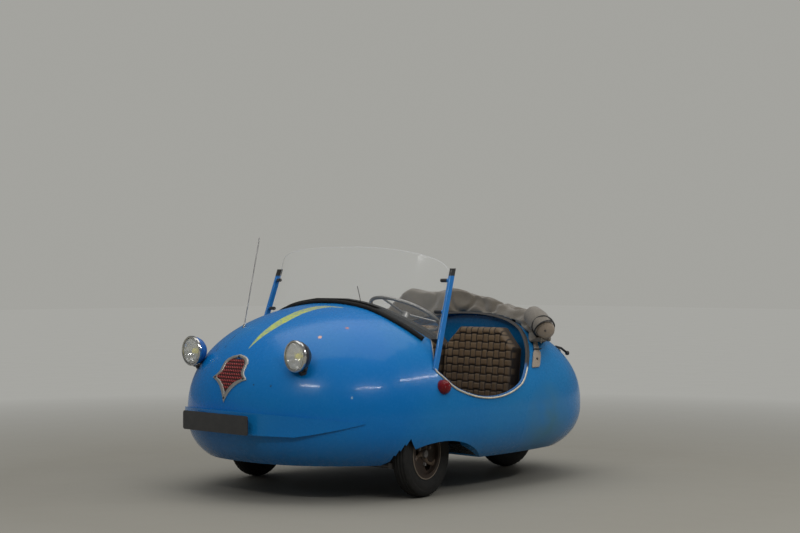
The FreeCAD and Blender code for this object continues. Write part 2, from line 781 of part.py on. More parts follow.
def lid_handle():
    """A bar on two short feet near the lid's rear edge."""
    x = S.lid_rear_x.value + 45
    half = 45
    z = skin_z(x, 0) + 20
    shape = Part.makeCylinder(5, 2 * half, Vector(x, -half, z), Vector(0, 1, 0))
    for y in (8 - half, half - 8):
        shape = shape.fuse(Part.makeCylinder(3.5, 23, Vector(x, y, z - 23)))
    return shape


def engine_lid():
    """The lid over the engine, with hinge barrels on its front edge."""
    shape = SHELL.common(lid_prism(0)).common(slab(S.waist_z.value, FAR))
    for barrel in hinge_barrels(False, S.lid_gap.value):
        shape = shape.cut(barrel)
    return shape.fuse(hinge_barrels(True) + [lid_handle()])


def bulkhead():
    """The panel behind the seats, which closes the engine bay."""
    panel = Part.makeBox(S.bulkhead_thick.value, 2 * FAR, FAR,
                         Vector(S.bulkhead_x.value - S.bulkhead_thick.value, -FAR,
                                S.sill_z.value + S.floor_thick.value))
    return panel.common(egg(S.wall.value + S.seat_gap.value))


def bumper():
    """The blade-shaped moulding round the nose, thin at its tips."""
    tip_x, tip_y, front = S.bumper_tip_x.value, S.bumper_tip_y.value, S.bumper_x.value
    arc = Part.Arc(Vector(tip_x, -tip_y, 0), Vector(front, 0, 0), Vector(tip_x, tip_y, 0))
    chord = Part.LineSegment(Vector(tip_x, tip_y, 0), Vector(tip_x, -tip_y, 0))
    plan = prism([arc.toShape(), chord.toShape()], Vector(0, 0, FAR), Vector(0, 0, 0))
    tip_z = S.bumper_tip_z.value
    outline = lines([
        Vector(front + 1, -FAR, S.bumper_top.value),
        Vector(tip_x - 1, -FAR, tip_z + 3),
        Vector(tip_x - 1, -FAR, tip_z - 3),
        Vector(front - 0.35 * (front - tip_x), -FAR, S.bumper_low.value - 4),
        Vector(front + 1, -FAR, S.bumper_low.value),
    ])
    side = Part.Face(outline).extrude(Vector(0, 2 * FAR, 0))
    return plan.common(side).cut(egg(-S.seat_gap.value))


def shield(shrink=0.0):
    """The grille's outline with pointed sides, pushed along the car."""
    half = S.grille_half.value - 1.3 * shrink
    top = S.grille_top.value - shrink
    ear = S.grille_ear_z.value
    tip = S.grille_tip.value + 1.6 * shrink
    neck = 0.36 * S.grille_half.value
    outline = lines([
        Vector(0, 0, top), Vector(0, neck, top - 0.18 * (top - ear)),
        Vector(0, half, ear), Vector(0, 0.5 * half, ear - 0.42 * (ear - tip)),
        Vector(0, 0, tip), Vector(0, -0.5 * half, ear - 0.42 * (ear - tip)),
        Vector(0, -half, ear), Vector(0, -neck, top - 0.18 * (top - ear)),
    ])
    return Part.Face(outline).extrude(Vector(FAR, 0, 0))


def grille_frame():
    band_shape = layer(S.grille_proud.value, S.seat_gap.value)
    return band_shape.common(shield()).cut(shield(S.grille_band.value))


def grille_mesh():
    band_shape = layer(0.6 * S.grille_proud.value, S.seat_gap.value)
    return band_shape.common(shield(S.grille_band.value + S.seat_gap.value))


def rake():
    """The windscreen's direction from its foot to its top."""
    lean = (S.post_foot_x.value - S.post_top_x.value) / (S.post_top_z.value - S.post_foot_z.value)
    return Vector(-lean * 0.83, 0, 1)


def screen_sheet(extra=0.0):
    """The bent clear sheet before its lower edge is trimmed to the scuttle."""
    face = band(extra, S.screen_thick.value + extra)
    foot_z = S.waist_z.value + S.crown_rise.value
    drop = 320
    face.translate(rake() * (-drop) + Vector(0, 0, foot_z))
    return face.extrude(rake() * (drop + S.screen_top.value - foot_z))


def windscreen():
    top = S.screen_top.value
    edge = S.screen_edge.value
    round_off = S.screen_corner_round.value
    sheet_shape = screen_sheet()
    corner_out = Part.makeBox(FAR, round_off + 20, round_off + 20,
                              Vector(-FAR / 2, edge - round_off, top - round_off))
    corner_in = Part.makeCylinder(round_off, FAR,
                                  Vector(-FAR / 2, edge - round_off, top - round_off),
                                  Vector(1, 0, 0))
    corner = corner_out.cut(corner_in)
    sheet_shape = sheet_shape.cut(corner).cut(corner.mirror(Vector(0, 0, 0), Vector(0, 1, 0)))
    return sheet_shape.cut(egg(-0.3 * S.rubber_high.value))


def cockpit_trim_zone():
    """The room that the piping needs, with a small gap."""
    proud = S.trim_proud.value + S.seat_gap.value
    skin = layer(proud, -S.wall.value - proud)
    return skin.cut(entry(S.trim_wide.value + S.seat_gap.value))


TRIM_ZONE = cockpit_trim_zone()


def windscreen_rubber():
    """The black strip that holds the sheet's foot along the scuttle."""
    half = S.rubber_half.value
    strip = band(half, half + S.screen_thick.value)
    strip = strip.extrude(Vector(0, 0, FAR))
    skin = layer(S.rubber_high.value, S.seat_gap.value)
    shape = skin.common(strip).common(slab(S.waist_z.value + 200, FAR))
    foot_level = egg(S.seat_gap.value - 0.3 * S.rubber_high.value)
    return shape.cut(screen_sheet(S.seat_gap.value).cut(foot_level)).cut(TRIM_ZONE)


def post_line():
    foot = Vector(S.post_foot_x.value, S.post_foot_y.value, S.post_foot_z.value)
    top = Vector(S.post_top_x.value, S.post_top_y.value, S.post_top_z.value)
    return foot, top


def screen_post():
    """A flat bar that leans back from the entry's corner, on a foot inside the shell."""
    foot, top = post_line()
    wide, thick = S.post_wide.value, S.post_thick.value
    corners = [Vector(a * wide / 2, b * thick / 2, 0) for a, b in
               ((-1, -1), (1, -1), (1, 1), (-1, 1))]
    face = Part.Face(lines([foot + corner for corner in corners]))
    bar = face.extrude(top - foot)
    upright = [edge for edge in bar.Edges if edge.BoundBox.ZLength > 100]
    bar = bar.makeFillet(0.35 * thick, upright)
    pad = Part.makeBox(wide, 60, 50, foot + Vector(-wide / 2, -thick / 2, -20))
    pad = pad.common(egg(S.wall.value + S.seat_gap.value))
    shape = bar.fuse(pad).removeSplitter()
    return shape.cut(TRIM_ZONE).fuse(screen_clips())


def screen_clips():
    """Two short studs that hold the sheet's edge to its post."""
    foot, top = post_line()
    along = top - foot
    _, edge, _ = screen_curve()
    foot_z = S.waist_z.value + S.crown_rise.value
    pieces = []
    for height in (S.clip_low_z.value, S.clip_high_z.value):
        start = foot + along * ((height - foot.z) / along.z)
        sheet_edge = edge + Vector(0, 0, foot_z) + rake() * (height - foot_z)
        reach = sheet_edge + Vector(0, -8, 0) - start
        stud = Part.makeCylinder(S.clip_radius.value, reach.Length, start, reach)
        stud = stud.cut(screen_sheet(S.seat_gap.value))
        nearest = min(stud.Solids, key=lambda piece: piece.distToShape(Part.Vertex(start))[0])
        pieces.append(nearest)
    return pieces


def on_slope(start, drop, forward=0.0):
    """A block behind the cockpit's sloping rear edge, from one distance to another along the car."""
    _, rear_end, slope = entry_side_prism()
    along = Vector(-math.cos(slope), 0, math.sin(slope))
    back = Vector(-math.sin(slope), 0, -math.cos(slope))
    first = rear_end + back * start
    corners = [first - along * 60, first + along * FAR,
               first + along * FAR + back * drop, first - along * 60 + back * drop]
    face = Part.Face(lines([corner + Vector(0, -FAR, 0) for corner in corners]))
    return face.extrude(Vector(0, 2 * FAR, 0))


def hood_roll():
    """The folded hood lying on the tail behind the cockpit, clear of the lid's swing."""
    skin = layer(S.hood_thick.value, S.seat_gap.value)
    shape = skin.common(on_slope(6, S.hood_wide.value)).common(slab(S.hood_low_z.value, FAR))
    rear = HINGE_X + S.hinge_radius.value + S.hood_gap.value
    return shape.cut(Part.makeBox(FAR, 2 * FAR, FAR, Vector(rear - FAR, -FAR, 0)))


def hood_strap():
    """A strap that hangs from the folded hood's end down the body's flank."""
    skin = layer(S.seat_gap.value + 4, S.seat_gap.value)
    shape = skin.common(on_slope(40, S.strap_wide.value))
    shape = shape.common(slab(S.strap_low_z.value, S.hood_low_z.value - S.seat_gap.value))
    near = Part.makeBox(2 * FAR, FAR, FAR, Vector(-FAR, 0, 0))
    shape = shape.common(near)
    return shape



def aerial():
    """A whip on a small round foot on the right front wing."""
    foot = Vector(S.aerial_x.value, S.aerial_y.value, S.aerial_foot_z.value)
    tip = Vector(S.aerial_tip_x.value, S.aerial_y.value, S.aerial_tip_z.value)
    along = (tip - foot).normalize()
    whip = Part.makeCylinder(S.aerial_radius.value, (tip - foot).Length, foot, along)
    base = Part.makeCone(11, 5, 55, foot - along * 30, along)
    return whip.fuse(base).cut(egg(-S.seat_gap.value))


def headlamp_foot(side):
    """The short stalk between a headlamp's bowl and the wing, cut to the wing's surface."""
    low = S.waist_z.value + 100
    bowl_low = S.lamp_z.value - 37
    stalk = Part.makeCylinder(S.lamp_foot.value, bowl_low - low,
                              Vector(S.lamp_x.value - 0.8 * S.lamp_deep.value,
                                     side * S.lamp_y.value, low))
    return stalk.cut(egg(-S.seat_gap.value))


def side_lamp():
    """A small domed lamp on the flank beside the screen post."""
    radius = S.marker_radius.value
    reach = S.shell_half_width.value + S.marker_proud.value - 24
    dome = Part.makeSphere(radius, Vector(S.marker_x.value, reach - radius, S.marker_z.value))
    stem = Part.makeCylinder(radius, 60, Vector(S.marker_x.value, reach - radius - 60,
                                                S.marker_z.value), Vector(0, 1, 0))
    return dome.fuse(stem).cut(egg(-S.seat_gap.value))


def rear_frame():
    """Two rails from the bulkhead to the tail, which carry the engine."""
    half = S.frame_bar.value / 2
    front = S.bulkhead_x.value - S.bulkhead_thick.value - S.seat_gap.value
    skin = egg(S.wall.value + S.seat_gap.value)
    rails = []
    for side in (1, -1):
        rail = Part.makeBox(FAR, 2 * half, S.frame_bar.value,
                            Vector(front - FAR, side * S.frame_y.value - half,
                                   S.frame_low_z.value))
        rails.append(rail.common(skin))
    bar = S.frame_bar.value
    tie = Part.makeBox(bar, 2 * S.frame_y.value + bar, bar,
                       Vector(front - bar, -S.frame_y.value - half, S.frame_low_z.value + bar))
    return rails[0].fuse([rails[1], tie]).removeSplitter()


REAR_AXLE_X = S.axle_x.value - S.wheelbase.value


def rear_fork():
    """The trailing fork: pivot tube on two plates, two arms and the axle with its collars."""
    across = Vector(0, 1, 0)
    tube = S.fork_tube.value
    pivot = Vector(S.fork_pivot_x.value, 0, S.fork_pivot_z.value)
    axle = Vector(REAR_AXLE_X, 0, S.tyre_radius.value)
    half = S.fork_pivot_half.value
    arm_y = S.fork_half.value
    stub = S.stub_radius.value
    hub_inner = S.hub_long.value / 2 + S.seat_gap.value
    hub_outer = S.hub_long.value / 4 + S.seat_gap.value
    shape = Part.makeCylinder(tube, 2 * half, pivot - across * half, across)
    front = S.bulkhead_x.value - S.bulkhead_thick.value - S.seat_gap.value
    for side in (1, -1):
        start = pivot + across * (side * arm_y)
        end = axle + across * (side * arm_y)
        shape = shape.fuse(Part.makeCylinder(tube - 2, (end - start).Length, start, end - start))
        shape = shape.fuse(Part.makeCylinder(1.6 * tube, 2 * tube, end - across * tube, across))
        low = pivot.z - 2 * tube
        high = S.frame_low_z.value + S.frame_bar.value - S.seat_gap.value
        plate = Part.makeBox(front - pivot.x + tube, 10, high - low,
                             Vector(pivot.x - tube, side * half - 5, low))
        shape = shape.fuse(plate)
    shape = shape.fuse(Part.makeCylinder(stub, 2 * arm_y, axle - across * arm_y, across))
    shape = shape.fuse(Part.makeCylinder(1.5 * stub, arm_y - hub_inner, axle - across * arm_y,
                                         across))
    shape = shape.fuse(Part.makeCylinder(1.5 * stub, arm_y - hub_outer,
                                         axle + across * hub_outer, across))
    return shape.removeSplitter()


def silencer():
    """The exhaust's drum on the left rail, with a tail pipe that points down."""
    radius = S.exhaust_radius.value
    top = S.frame_low_z.value + S.frame_bar.value
    centre = Vector(S.engine_front_x.value + 20, S.frame_y.value, top + radius)
    drum = Part.makeCylinder(radius, S.exhaust_long.value, centre + Vector(0, 0, 0.3),
                             Vector(-1, 0, 0))
    pipe_x, pipe_y = tail_pipe_spot()
    pipe = Part.makeCylinder(S.pipe_radius.value, centre.z - S.sill_z.value + 25,
                             Vector(pipe_x, pipe_y, S.sill_z.value - 25))
    return drum.fuse(pipe)


def along_column(distance):
    """A point on the steering column's line, measured down from the wheel's centre."""
    top = Vector(S.handwheel_x.value, S.column_y.value, S.handwheel_z.value)
    angle = math.radians(S.steer_rest.value)
    low = Vector(S.axle_x.value + S.arm_long.value * math.cos(angle), S.column_y.value,
                 S.beam_top.value - S.rod_drop.value)
    direction = (low - top).normalize()
    return top + direction * distance, direction


def steering_column():
    """The column's tube, cut level where it stands on the floor."""
    start, direction = along_column(45)
    tube = Part.makeCylinder(S.column_radius.value, FAR, start, direction)
    bore = Part.makeCylinder(S.shaft_radius.value + S.running_gap.value, FAR, start, direction)
    floor_top = S.sill_z.value + S.floor_thick.value + S.seat_gap.value
    return tube.cut(bore).common(slab(floor_top, FAR))


for label, make in (
    ("body_upper", body_upper),
    ("body_lower", body_lower),
    ("cockpit_trim", cockpit_trim),
    ("bulkhead", bulkhead),
    ("bumper", bumper),
    ("grille_frame", grille_frame),
    ("grille_mesh", grille_mesh),
    ("windscreen", windscreen),
    ("windscreen_rubber", windscreen_rubber),
    ("hood_roll", hood_roll),
    ("aerial", aerial),
    ("rear_frame", rear_frame),
    ("rear_fork", rear_fork),
    ("silencer", silencer),
    ("steering_column", steering_column),
    ("engine_lid", engine_lid),
):
    node(label, feature(label, make()))

for label, make in (
    ("screen_post_", screen_post),
    ("hood_strap_", hood_strap),
    ("side_lamp_", side_lamp),
):
    shape = make()
    node(label + "left", feature(label + "left", shape))
    mirrored = shape.mirror(Vector(0, 0, 0), Vector(0, 1, 0))
    node(label + "right", feature(label + "right", mirrored))


# Wheels and tyres
# Their outlines lie in a plane with the radius along X and the axle along Y.

def tyre(name):
    half = S.tyre_wide / 2
    bead = S.rim_wide / 2 - S.sheet_metal - S.seat_gap
    side = (
        (S.rim_radius + S.seat_gap, bead),
        (S.rim_flange + 3, bead),
        (S.rim_flange + 14, half - 3),
        (S.rim_flange + 34, half),
        (S.tyre_radius - 22, half - 3),
        (S.tyre_radius - 7, S.tread_wide / 2),
        (S.tyre_radius, S.tread_wide / 2 - 16),
    )
    mirrored = [(x, -y) for x, y in reversed(side)]
    return revolved(name, list(side) + mirrored)


def wheel(name):
    """A pressed wheel: rim, dished disc with round holes between its arms, and hub."""
    metal = S.sheet_metal
    rim_half = S.rim_wide / 2
    inner = S.rim_radius - metal
    bore = S.stub_radius + S.running_gap
    body = revolved(name, (
        (bore, -S.hub_long / 2),
        (S.hub_radius, -S.hub_long / 2),
        (S.hub_radius, S.disc_dish - metal / 2),
        (inner, S.disc_dish - metal / 2),
        (inner, -rim_half),
        (S.rim_flange, -rim_half),
        (S.rim_flange, -rim_half + metal),
        (S.rim_radius, -rim_half + metal),
        (S.rim_radius, rim_half - metal),
        (S.rim_flange, rim_half - metal),
        (S.rim_flange, rim_half),
        (inner, rim_half),
        (inner, S.disc_dish + metal / 2),
        (S.hub_radius, S.disc_dish + metal / 2),
        (S.hub_radius, S.hub_long / 4),
        (bore, S.hub_long / 4),
    ))
    sketch = new_sketch(body, name + "_hole", "XZ_Plane")
    draw_circle(sketch, S.lobe_ring, 0, S.lobe_hole)
    doc.recompute()
    pocket = body.newObject("PartDesign::Pocket", name + "_pocket")
    pocket.Profile = sketch
    pocket.Type = 1
    pocket.Midplane = True
    pattern = body.newObject("PartDesign::PolarPattern", name + "_pattern")
    pattern.Originals = [pocket]
    pattern.Axis = ([part for part in body.Origin.OriginFeatures if part.Role == "Y_Axis"][0], [""])
    pattern.Angle = 360
    bind_count(pattern, S.lobe_count)
    body.Tip = pattern
    sketch.Visibility = False
    return body


def bind_count(pattern, count):
    pattern.Occurrences = int(count.value)
    pattern.setExpression("Occurrences", count.words)


offset = S.wheel_y - S.kingpin_y
for name, side in SIDES:
    spin = S.steer_rest if side > 0 else S.steer_rest + 180
    centre = (S.axle_x - side * offset * sine(S.steer_rest),
              side * (S.kingpin_y + offset * cosine(S.steer_rest)), S.tyre_radius)
    for label, make in (("tyre_", tyre), ("wheel_", wheel)):
        piece = node(label + name, make(label + name))
        place(piece, centre)
        turned(piece, Vector(0, 0, 1), spin)
for label, make in (("tyre_rear", tyre), ("wheel_rear", wheel)):
    piece = node(label, make(label))
    place(piece, (S.axle_x - S.wheelbase, 0, S.tyre_radius))


# Front axle and steering

TO_LEFT = Rotation(Vector(1, 0, 0), -90)
TO_RIGHT = Rotation(Vector(1, 0, 0), 90)
beam_low = S.beam_top - S.beam_high
beam = [
    box("beam_tube", (S.axle_x - S.beam_wide / 2, -S.kingpin_y - 22, beam_low),
        (S.axle_x + S.beam_wide / 2, S.kingpin_y + 22, S.beam_top)),
]
for name, side in SIDES:
    beam.append(solid("Cylinder", "kingpin_" + name, (S.axle_x, side * S.kingpin_y, beam_low),
                      Radius=S.kingpin_radius, Height=S.knuckle_top + 10 - beam_low))
    pad_y = side * S.rail_y
    beam.append(box("beam_pad_" + name, (S.axle_x - S.beam_wide / 2, pad_y - 30, S.beam_top),
                    (S.axle_x + S.beam_wide / 2, pad_y + 30, S.sill_z - S.seat_gap)))
node("front_axle", fused("front_axle", beam))

hub_inner = offset - S.hub_long / 2
hub_outer = offset + S.hub_long / 4
arm_low = S.beam_top + S.seat_gap
for name, side in SIDES:
    outward = TO_LEFT if side > 0 else TO_RIGHT
    axle_z = S.tyre_radius
    pieces = [
        solid("Cylinder", "upright_" + name, (0, 0, arm_low), Radius=S.knuckle_radius,
              Height=S.knuckle_top - arm_low),
        solid("Cylinder", "shoulder_" + name, (0, side * 14, axle_z), outward,
              Radius=S.stub_radius * 1.5, Height=hub_inner - S.seat_gap - 14),
        solid("Cylinder", "stub_" + name, (0, side * 14, axle_z), outward,
              Radius=S.stub_radius, Height=hub_outer - 4),
        solid("Cylinder", "cap_" + name, (0, side * (hub_outer + S.seat_gap), axle_z), outward,
              Radius=S.stub_radius * 1.4, Height=10),
        solid("Cylinder", "brake_plate_" + name, (0, side * (hub_inner - 12), axle_z), outward,
              Radius=S.rim_radius - 12, Height=4),
        box("arm_" + name, (0, -S.arm_wide / 2, arm_low),
            (S.arm_long, S.arm_wide / 2, arm_low + S.arm_thick)),
        solid("Cylinder", "arm_eye_" + name, (S.arm_long, 0, arm_low), Radius=S.rod_eye,
              Height=S.arm_thick),
    ]
    bore = solid("Cylinder", "kingpin_bore_" + name, (0, 0, S.beam_top),
                 Radius=S.kingpin_radius + S.running_gap, Height=S.knuckle_top)
    knuckle = cut("knuckle_" + name, fused("knuckle_solid_" + name, pieces), bore)
    node("knuckle_" + name, knuckle)
    place(knuckle, (S.axle_x, side * S.kingpin_y, 0))
    turned(knuckle, Vector(0, 0, 1), S.steer_rest)

rod_x = S.axle_x + S.arm_long * cosine(S.steer_rest)
rod_shift = S.arm_long * sine(S.steer_rest)
rod_z = S.beam_top - S.rod_drop
track_rod = [solid("Cylinder", "rod", (0, -S.kingpin_y, rod_z), TO_LEFT, Radius=S.rod_radius,
                   Height=2 * S.kingpin_y)]
for name, side in SIDES:
    track_rod.append(solid("Cylinder", "rod_eye_" + name,
                           (0, side * S.kingpin_y, S.beam_top - 2 * S.rod_drop),
                           Radius=S.rod_eye, Height=2 * S.rod_drop))
track_rod = node("track_rod", fused("track_rod", track_rod))
place(track_rod, (rod_x, rod_shift, 0))

guides = []
for name, side in SIDES:
    guides.append(box("guide_" + name,
                      (rod_x - S.box_long / 2, side * S.column_y - S.box_wide / 2,
                       rod_z - S.rod_radius - 10),
                      (rod_x + S.box_long / 2, side * S.column_y + S.box_wide / 2,
                       S.sill_z - S.seat_gap)))
guides.append(solid("Cylinder", "rack_tube", (rod_x, -S.column_y, rod_z), TO_LEFT,
                    Radius=S.rod_radius + S.tube_wall, Height=2 * S.column_y))
guide_bore = solid("Cylinder", "guide_bore", (rod_x, -S.kingpin_y, rod_z), TO_LEFT,
                   Radius=S.rod_radius + S.running_gap, Height=2 * S.kingpin_y)
node("steering_box", cut("steering_box", fused("guides", guides), guide_bore))

handwheel = [
    solid("Torus", "handwheel_rim", Radius1=S.handwheel_radius, Radius2=S.handwheel_grip),
    solid("Cylinder", "handwheel_hub", (0, 0, -30), Radius=26, Height=36),
    solid("Cylinder", "handwheel_shaft", (0, 0, -200), Radius=S.shaft_radius, Height=190),
]
for number in range(3):
    spoke = solid("Cylinder", "spoke_%d" % number, (0, 0, 0),
                  Rotation(Vector(0, 0, 1), 120 * number).multiply(Rotation(Vector(0, 1, 0), 90)),
                  Radius=5, Height=S.handwheel_radius)
    handwheel.append(spoke)
handwheel = node("steering_wheel", fused("steering_wheel", handwheel))
_, down_column = along_column(0)
place(handwheel, (S.handwheel_x, S.column_y, S.handwheel_z),
      Rotation(Vector(0, 0, 1), down_column * -1))


# Lamps and plate

FORWARD = Rotation(Vector(0, 0, 1), -90)
BOWL_ANGLES = (0, 18, 36, 54, 72, 90)


def dome(radius, depth, angles):
    """Points of a quarter ellipse from the rim to the axis."""
    points = []
    for angle in angles:
        across = radius * math.cos(math.radians(angle)) if angle < 90 else term(0)
        points.append((across, depth * math.sin(math.radians(angle))))
    return points


for name, side in SIDES:
    at = (S.lamp_x, side * S.lamp_y, S.lamp_z)
    outer = S.lamp_radius - 3
    outside = dome(outer, -S.lamp_deep, BOWL_ANGLES)
    inside = dome(outer - 3, 3 - S.lamp_deep, BOWL_ANGLES)
    shell = revolved("bowl_" + name, outside + inside[::-1])
    place(shell, at, FORWARD)
    foot = feature("lamp_foot_" + name, headlamp_foot(side))
    rim = revolved("lamp_rim_" + name, (
        (S.lamp_radius - 9, term(-1)), (S.lamp_radius, term(-1)),
        (S.lamp_radius, term(8)), (S.lamp_radius - 4, term(13)), (S.lamp_radius - 9, term(11))))
    place(rim, at, FORWARD)
    node("headlamp_bowl_" + name, fused("headlamp_bowl_" + name, [shell, foot, rim]))
    glass = S.lamp_radius - 9 - S.seat_gap
    front = [(x, y + 6) for x, y in dome(glass, term(15), BOWL_ANGLES)]
    back = [(x, y + 3) for x, y in dome(glass - 1, term(13), BOWL_ANGLES)]
    lens = node("headlamp_lens_" + name, revolved("headlamp_lens_" + name, front + back[::-1]))
    place(lens, at, FORWARD)

plate = box("plate_blank", (S.bumper_x + S.seat_gap, -S.plate_wide / 2, S.plate_z - S.plate_high / 2),
            (S.bumper_x + S.seat_gap + S.plate_thick, S.plate_wide / 2,
             S.plate_z + S.plate_high / 2))
doc.recompute()
rounding = doc.addObject("Part::Fillet", "number_plate")
rounding.Base = plate
rounding.Edges = [(index, 12.0, 12.0) for index, edge in enumerate(plate.Shape.Edges, start=1)
                  if edge.BoundBox.XLength > 1]
node("number_plate", rounding)


# Seats, floor rails and engine

bench_outside = box("bench_outside", (S.bench_rear_x, -S.seat_wide - 14, S.sill_z + S.floor_thick),
                    (S.bench_front_x, S.seat_wide + 14, S.bench_top))
bench_inside = box("bench_inside",
                   (S.bench_rear_x + S.bench_wall, -S.seat_wide - 14 + S.bench_wall,
                    S.sill_z + S.floor_thick - 1),
                   (S.bench_front_x - S.bench_wall, S.seat_wide + 14 - S.bench_wall,
                    S.bench_top - S.bench_wall))
node("seat_box", cut("seat_box", bench_outside, bench_inside))
for name, side in SIDES:
    half = S.seat_wide / 2
    corner = S.seat_corner
    high = S.seat_top - S.bench_top
    body = new_body("seat_back_" + name)
    sketch = new_sketch(body, "seat_outline_" + name, "YZ_Plane")
    draw(sketch, ((-half, term(0)), (half, term(0)), (half, high - corner),
                  (half - corner, high), (corner - half, high), (-half, high - corner)))
    pad = body.newObject("PartDesign::Pad", "seat_pad_" + name)
    pad.Profile = sketch
    bind(pad, "Length", S.seat_thick)
    sketch.Visibility = False
    node("seat_back_" + name, body)
    lean = math.tan(math.radians(S.seat_lean.value))
    place(body, (S.seat_front_x - S.seat_thick + high * lean, side * S.seat_y,
                 S.bench_top + S.seat_gap), Rotation(Vector(0, 1, 0), -S.seat_lean.value))

cushion_rear = S.seat_front_x + (S.seat_top - S.bench_top) * lean + 8
node("seat_cushion", box("seat_cushion", (cushion_rear, -S.seat_wide - 4, S.bench_top + S.seat_gap),
                         (S.bench_front_x + 8, S.seat_wide + 4, S.bench_top + S.cushion_thick)))

rails = []
for name, side in SIDES:
    rails.append(box("rail_" + name,
                     (S.bulkhead_x, side * S.rail_y - S.rail_wide / 2, S.sill_z - S.rail_high),
                     (S.axle_x - S.beam_wide / 2 - S.seat_gap, side * S.rail_y + S.rail_wide / 2,
                      S.sill_z)))
for name, tie_x in (("rear", S.bulkhead_x), ("seat", S.bench_front_x - S.rail_wide)):
    rails.append(box("tie_" + name, (tie_x, -S.rail_y, S.sill_z - S.rail_high),
                     (tie_x + S.rail_wide, S.rail_y, S.sill_z)))
node("floor_rails", fused("floor_rails", rails))

engine_top = S.frame_low_z + S.frame_bar + S.seat_gap
engine_side = S.fork_half + S.fork_tube * 2 + 5
node("engine", box("engine", (S.engine_front_x - S.engine_long, -engine_side - S.engine_wide,
                              engine_top),
                   (S.engine_front_x, -engine_side, engine_top + S.engine_high)))


# Check every object, then write one file for each piece

doc.recompute()
print("Lid hinge: x %.2f, z %.2f" % (HINGE_X, HINGE_Z))
for item in doc.Objects:
    if "Invalid" in item.State or "Error" in item.State:
        raise RuntimeError("failed object: " + item.Name)
os.makedirs("parts", exist_ok=True)
for label, piece in NODES.items():
    if piece.Shape.isNull() or not piece.Shape.isValid() or not piece.Shape.Solids:
        raise RuntimeError("bad shape: " + label)
    piece.Shape.exportStep("parts/%s.step" % label)
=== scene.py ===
"""Looks of the open three-wheeled bubble car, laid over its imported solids. Metres, +X forward."""

import math

import bpy
from mathutils import Matrix, Vector, noise
from mathutils.bvhtree import BVHTree


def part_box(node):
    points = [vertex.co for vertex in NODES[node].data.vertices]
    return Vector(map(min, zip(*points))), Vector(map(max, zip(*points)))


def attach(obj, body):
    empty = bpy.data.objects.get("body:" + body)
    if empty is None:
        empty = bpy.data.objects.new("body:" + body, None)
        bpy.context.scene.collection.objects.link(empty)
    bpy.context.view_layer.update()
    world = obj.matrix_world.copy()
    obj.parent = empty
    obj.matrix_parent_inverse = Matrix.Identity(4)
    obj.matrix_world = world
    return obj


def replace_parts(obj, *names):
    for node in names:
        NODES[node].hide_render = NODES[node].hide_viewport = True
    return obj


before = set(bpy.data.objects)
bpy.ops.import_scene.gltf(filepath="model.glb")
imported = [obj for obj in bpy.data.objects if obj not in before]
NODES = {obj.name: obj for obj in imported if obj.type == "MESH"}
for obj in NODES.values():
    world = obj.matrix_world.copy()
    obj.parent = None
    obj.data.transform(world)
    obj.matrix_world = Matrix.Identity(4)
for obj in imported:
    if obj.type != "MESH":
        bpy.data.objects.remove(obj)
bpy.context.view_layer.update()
SIDES = (("left", 1), ("right", -1))

# Places that the solids have, in metres.
LAMP = Vector((0.961, 0.3915, 0.671))
LAMP_RADIUS = 0.070
LAMP_DEEP = 0.072
TYRE_RADIUS = 0.203
FRONT_AXLE_X = 0.379
REAR_AXLE_X = -0.861
KINGPIN_Y = 0.517
WHEEL_OFFSET = 0.075
REST_STEER = math.radians(13)
SEAT_ORIGIN = Vector((-0.3258, 0.254, 0.2987))
SEAT_LEAN = math.radians(6)
SEAT_WIDE = 0.490
SEAT_HIGH = 0.482
SEAT_THICK = 0.080
SEAT_CORNER = 0.105
POST_FOOT = Vector((0.365, 0.676, 0.560))
POST_TOP = Vector((0.203, 0.642, 1.071))
SCREEN_EDGE = 0.626
SCREEN_TOP = 1.179
SCREEN_CORNER_TOP = 1.030
SKIN_LOWEST = 0.62


# Shader maths

class Wire:
    """A value inside a material. Python's operators on it add the nodes."""

    def __init__(self, finish, socket):
        self.finish = finish
        self.socket = socket

    def math(self, operation, *others):
        return self.finish.math(operation, self, *others)

    def __add__(self, other):
        return self.math("ADD", other)

    def __sub__(self, other):
        return self.math("SUBTRACT", other)

    def __mul__(self, other):
        return self.math("MULTIPLY", other)

    def __truediv__(self, other):
        return self.math("DIVIDE", other)

    def __rsub__(self, other):
        return self.finish.math("SUBTRACT", other, self)

    __radd__ = __add__
    __rmul__ = __mul__

    def __abs__(self):
        return self.math("ABSOLUTE")

    def above(self, level, soft=0.001):
        """1 where the value is over the level, with a soft step."""
        return self.finish.math("ADD", (self - level) / soft, 0.5).held()

    def below(self, level, soft=0.001):
        return 1.0 - self.above(level, soft)

    def held(self):
        """Clamped between 0 and 1."""
        return self.math("MINIMUM", 1.0).math("MAXIMUM", 0.0)

    def part(self, axis):
        """One coordinate of a vector."""
        return self.finish.node("SeparateXYZ", {0: self}, out=axis)


